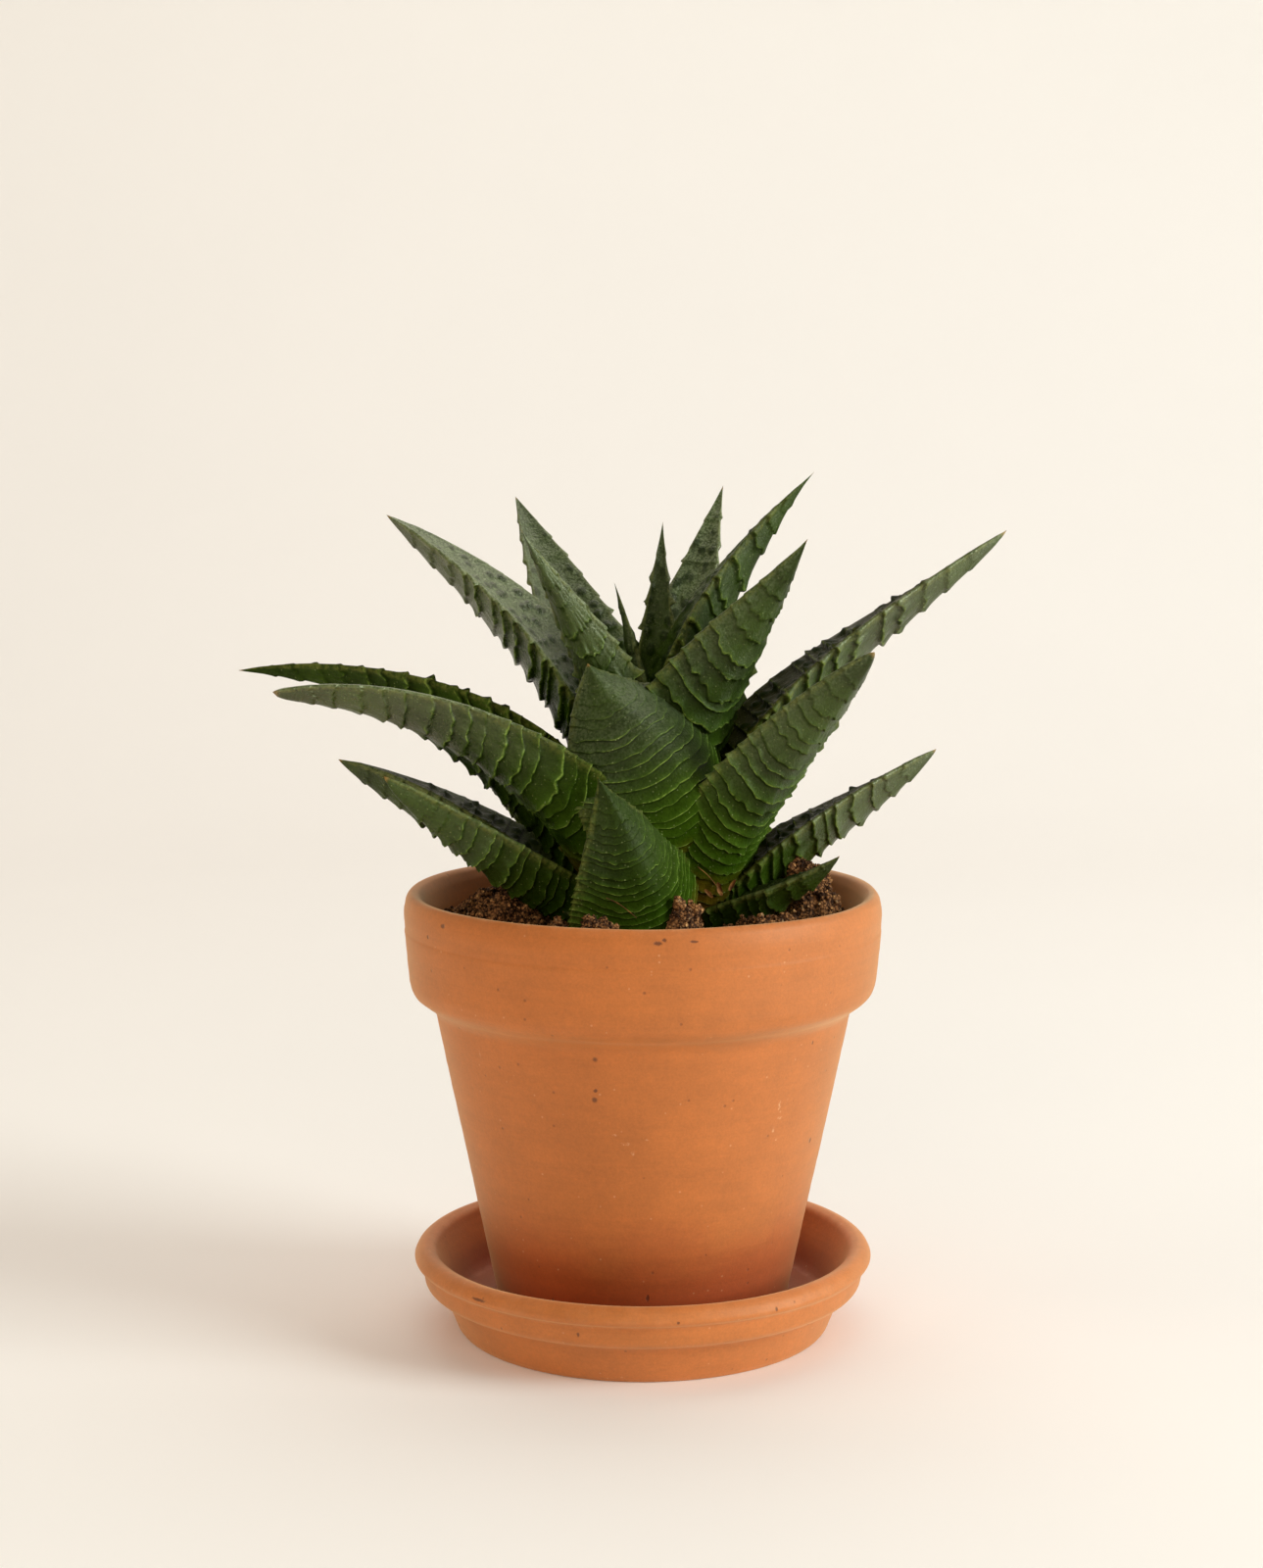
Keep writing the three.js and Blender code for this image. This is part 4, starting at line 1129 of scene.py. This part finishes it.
def paper_scale(name, middle, lean, long, wide, seed):
    ball, triangles = split_ball(*split_ball(BALL_POINTS, BALL_FACES))
    x, y, z = (ball * [wide / 2, 0.16, long / 2]).T
    y = y - 0.5 * (x / (wide / 2)) ** 2 - 0.7 * (z / (long / 2)) ** 2
    turn = math.radians(lean)
    cos, sin = math.cos(turn), math.sin(turn)
    points = np.stack([x * cos - z * sin, y, x * sin + z * cos], axis=-1)
    points = points + 0.15 * waves(points + seed, 1.1, seed)[:, None]
    return make_piece(name, points + middle, [triangles], "soil")


def fibre(name, start, end, rise, seed, steps=28):
    t = np.linspace(0, 1, steps)[:, None]
    line = np.array(start) * (1 - t) + np.array(end) * t + [0, 0, rise] * np.sin(math.pi * t)
    line = line + 0.2 * np.stack([waves(line, 2.6, seed + axis) for axis in range(3)], axis=-1)
    turn = np.linspace(0, 2 * np.pi, 6, endpoint=False)
    ring = 0.11 * np.stack([0 * turn, np.cos(turn), np.sin(turn)], axis=-1)
    points = np.vstack([(line[:, None] + ring).reshape(-1, 3), line[0], line[-1]])
    ends = [fan_faces(0, 6, 6 * steps, False), fan_faces(6 * (steps - 1), 6, 6 * steps + 1, True)]
    return make_piece(name, points, [grid_faces(steps, 6), *ends], "soil")


DRY_SKIN, w, shader = material("dry_skin", 0.7, 0.3)
where = w.place()
dry = w.mix(w.remap(w.noise(where, 420.0, 4.0), 0.35, 0.65), linear(84, 48, 20), linear(168, 112, 56))
dry = w.group(MOTTLE, Place=where, Colour=dry, Size=1600.0, Amount=0.2)["Colour"]
w.put(shader["Base Color"], dry)
bits = [paper_scale(f"dry_scale_{i + 1}", *values, 810 + i) for i, values in enumerate(SCALES)]
bits += [fibre(f"dry_fibre_{i + 1}", *values, 820 + 5 * i) for i, values in enumerate(FIBRES)]
for bit in bits:
    bit.data.materials.append(DRY_SKIN)

# %% [markdown]
# ## The stem
# The stem hides inside the rosette. It keeps the CAD's solid and gets a fleshy finish, darker and browner
# towards the soil.

# %% Stem
STEM_FLESH, w, shader = material("stem_flesh", 0.65, 0.3)
where = w.place()
height = w.add("ShaderNodeSeparateXYZ", {0: where}, 2)
flesh = w.mix(w.remap(height, 0.092, 0.105), linear(96, 74, 40), linear(112, 124, 58))
flesh = w.group(MOTTLE, Place=where, Colour=flesh, Size=160.0, Amount=0.18)["Colour"]
grain = w.group(GRAIN, Place=where, Fineness=1200.0, Contrast=0.2)
w.put(shader["Base Color"], flesh)
w.put(shader["Normal"], w.bump(grain["Height"], 0.5, 0.2))
stem = frame["nodes"]["stem"]
stem.data.materials.clear()
stem.data.materials.append(STEM_FLESH)

# %% [markdown]
# ## The stage
# The background is pale, warm and without an edge. A sheet that lies flat and curves up into a wall gives
# that. It could be two planes, but the bend hides the line where they would meet.

# %% Floor and wall
STAGE_WIDTH, FLOOR_FRONT, WALL_PLACE, WALL_TOP, BEND = 6.0, -3.0, 1.6, 3.0, 0.9


def stage_sheet():
    turn = np.linspace(0, math.pi / 2, 24)
    curve = [(WALL_PLACE - BEND + BEND * math.sin(a), BEND - BEND * math.cos(a)) for a in turn]
    line = [(FLOOR_FRONT, 0.0), *curve, (WALL_PLACE, WALL_TOP)]
    mesh = bpy.data.meshes.new("floor_sheet")
    points = [(x, y, z) for y, z in line for x in (-STAGE_WIDTH / 2, STAGE_WIDTH / 2)]
    faces = [(2 * i, 2 * i + 1, 2 * i + 3, 2 * i + 2) for i in range(len(line) - 1)]
    mesh.from_pydata(points, [], faces)
    mesh.polygons.foreach_set("use_smooth", [True] * len(faces))
    sheet = bpy.data.objects.new("floor_sheet", mesh)
    bpy.context.scene.collection.objects.link(sheet)
    return sheet


floor = stage_sheet()
PAPER, w, shader = material("pale_paper", 0.95, 0.1)
where = w.place()
tint = w.group(MOTTLE, Place=where, Colour=linear(250, 244, 236), Size=1.5, Amount=0.01)["Colour"]
w.put(shader["Base Color"], tint)
floor.data.materials.append(PAPER)
print(f"stage: {STAGE_WIDTH} m wide, {WALL_TOP} m high")

# %% [markdown]
# ## The lights
# The shadow falls softly to the left, so the main light is a soft box on the right, a little in front. The
# larger a box is, the softer its shadow. One overhead lights the background, and two wide ones in front and
# on the left lift the shadows. Those two are kept out of reflections, so that they leave no shine of their
# own.


# %% Lights
def soft_box(name, place, aim, width, height, watts, colour, in_gloss=True):
    lamp = bpy.data.lights.new(name, "AREA")
    lamp.shape, lamp.size, lamp.size_y = "RECTANGLE", width, height
    lamp.energy, lamp.color = watts, colour
    box = bpy.data.objects.new(name, lamp)
    box.location = place
    box.rotation_mode = "QUATERNION"
    box.rotation_quaternion = (Vector(aim) - Vector(place)).to_track_quat("-Z", "Y")
    box.visible_glossy = in_gloss
    bpy.context.scene.collection.objects.link(box)
    print(f"{name}: {watts} W, {width} by {height} m")


soft_box("key_light", (1.55, -0.55, 0.66), (0, 0, 0.08), 0.8, 0.8, 27, (0.87, 0.97, 1.0))
soft_box("back_light", (0.2, 0.8, 1.8), (0, 0, 0), 2.4, 1.2, 12, (1.0, 0.97, 1.0))
soft_box("front_light", (-0.2, -1.7, 0.9), (0, 0, 0.08), 1.8, 1.0, 8, (1.0, 0.945, 0.81), in_gloss=False)
soft_box("left_light", (-1.7, -0.4, 0.8), (0, 0, 0.08), 1.6, 1.2, 7.5, (1.0, 0.94, 0.82), in_gloss=False)
world = bpy.data.worlds.new("studio")
world.use_nodes = True
world.node_tree.nodes["Background"].inputs["Color"].default_value = (1.0, 0.93, 0.83, 1)
world.node_tree.nodes["Background"].inputs["Strength"].default_value = 0.3
world.cycles_visibility.glossy = False
bpy.context.scene.world = world
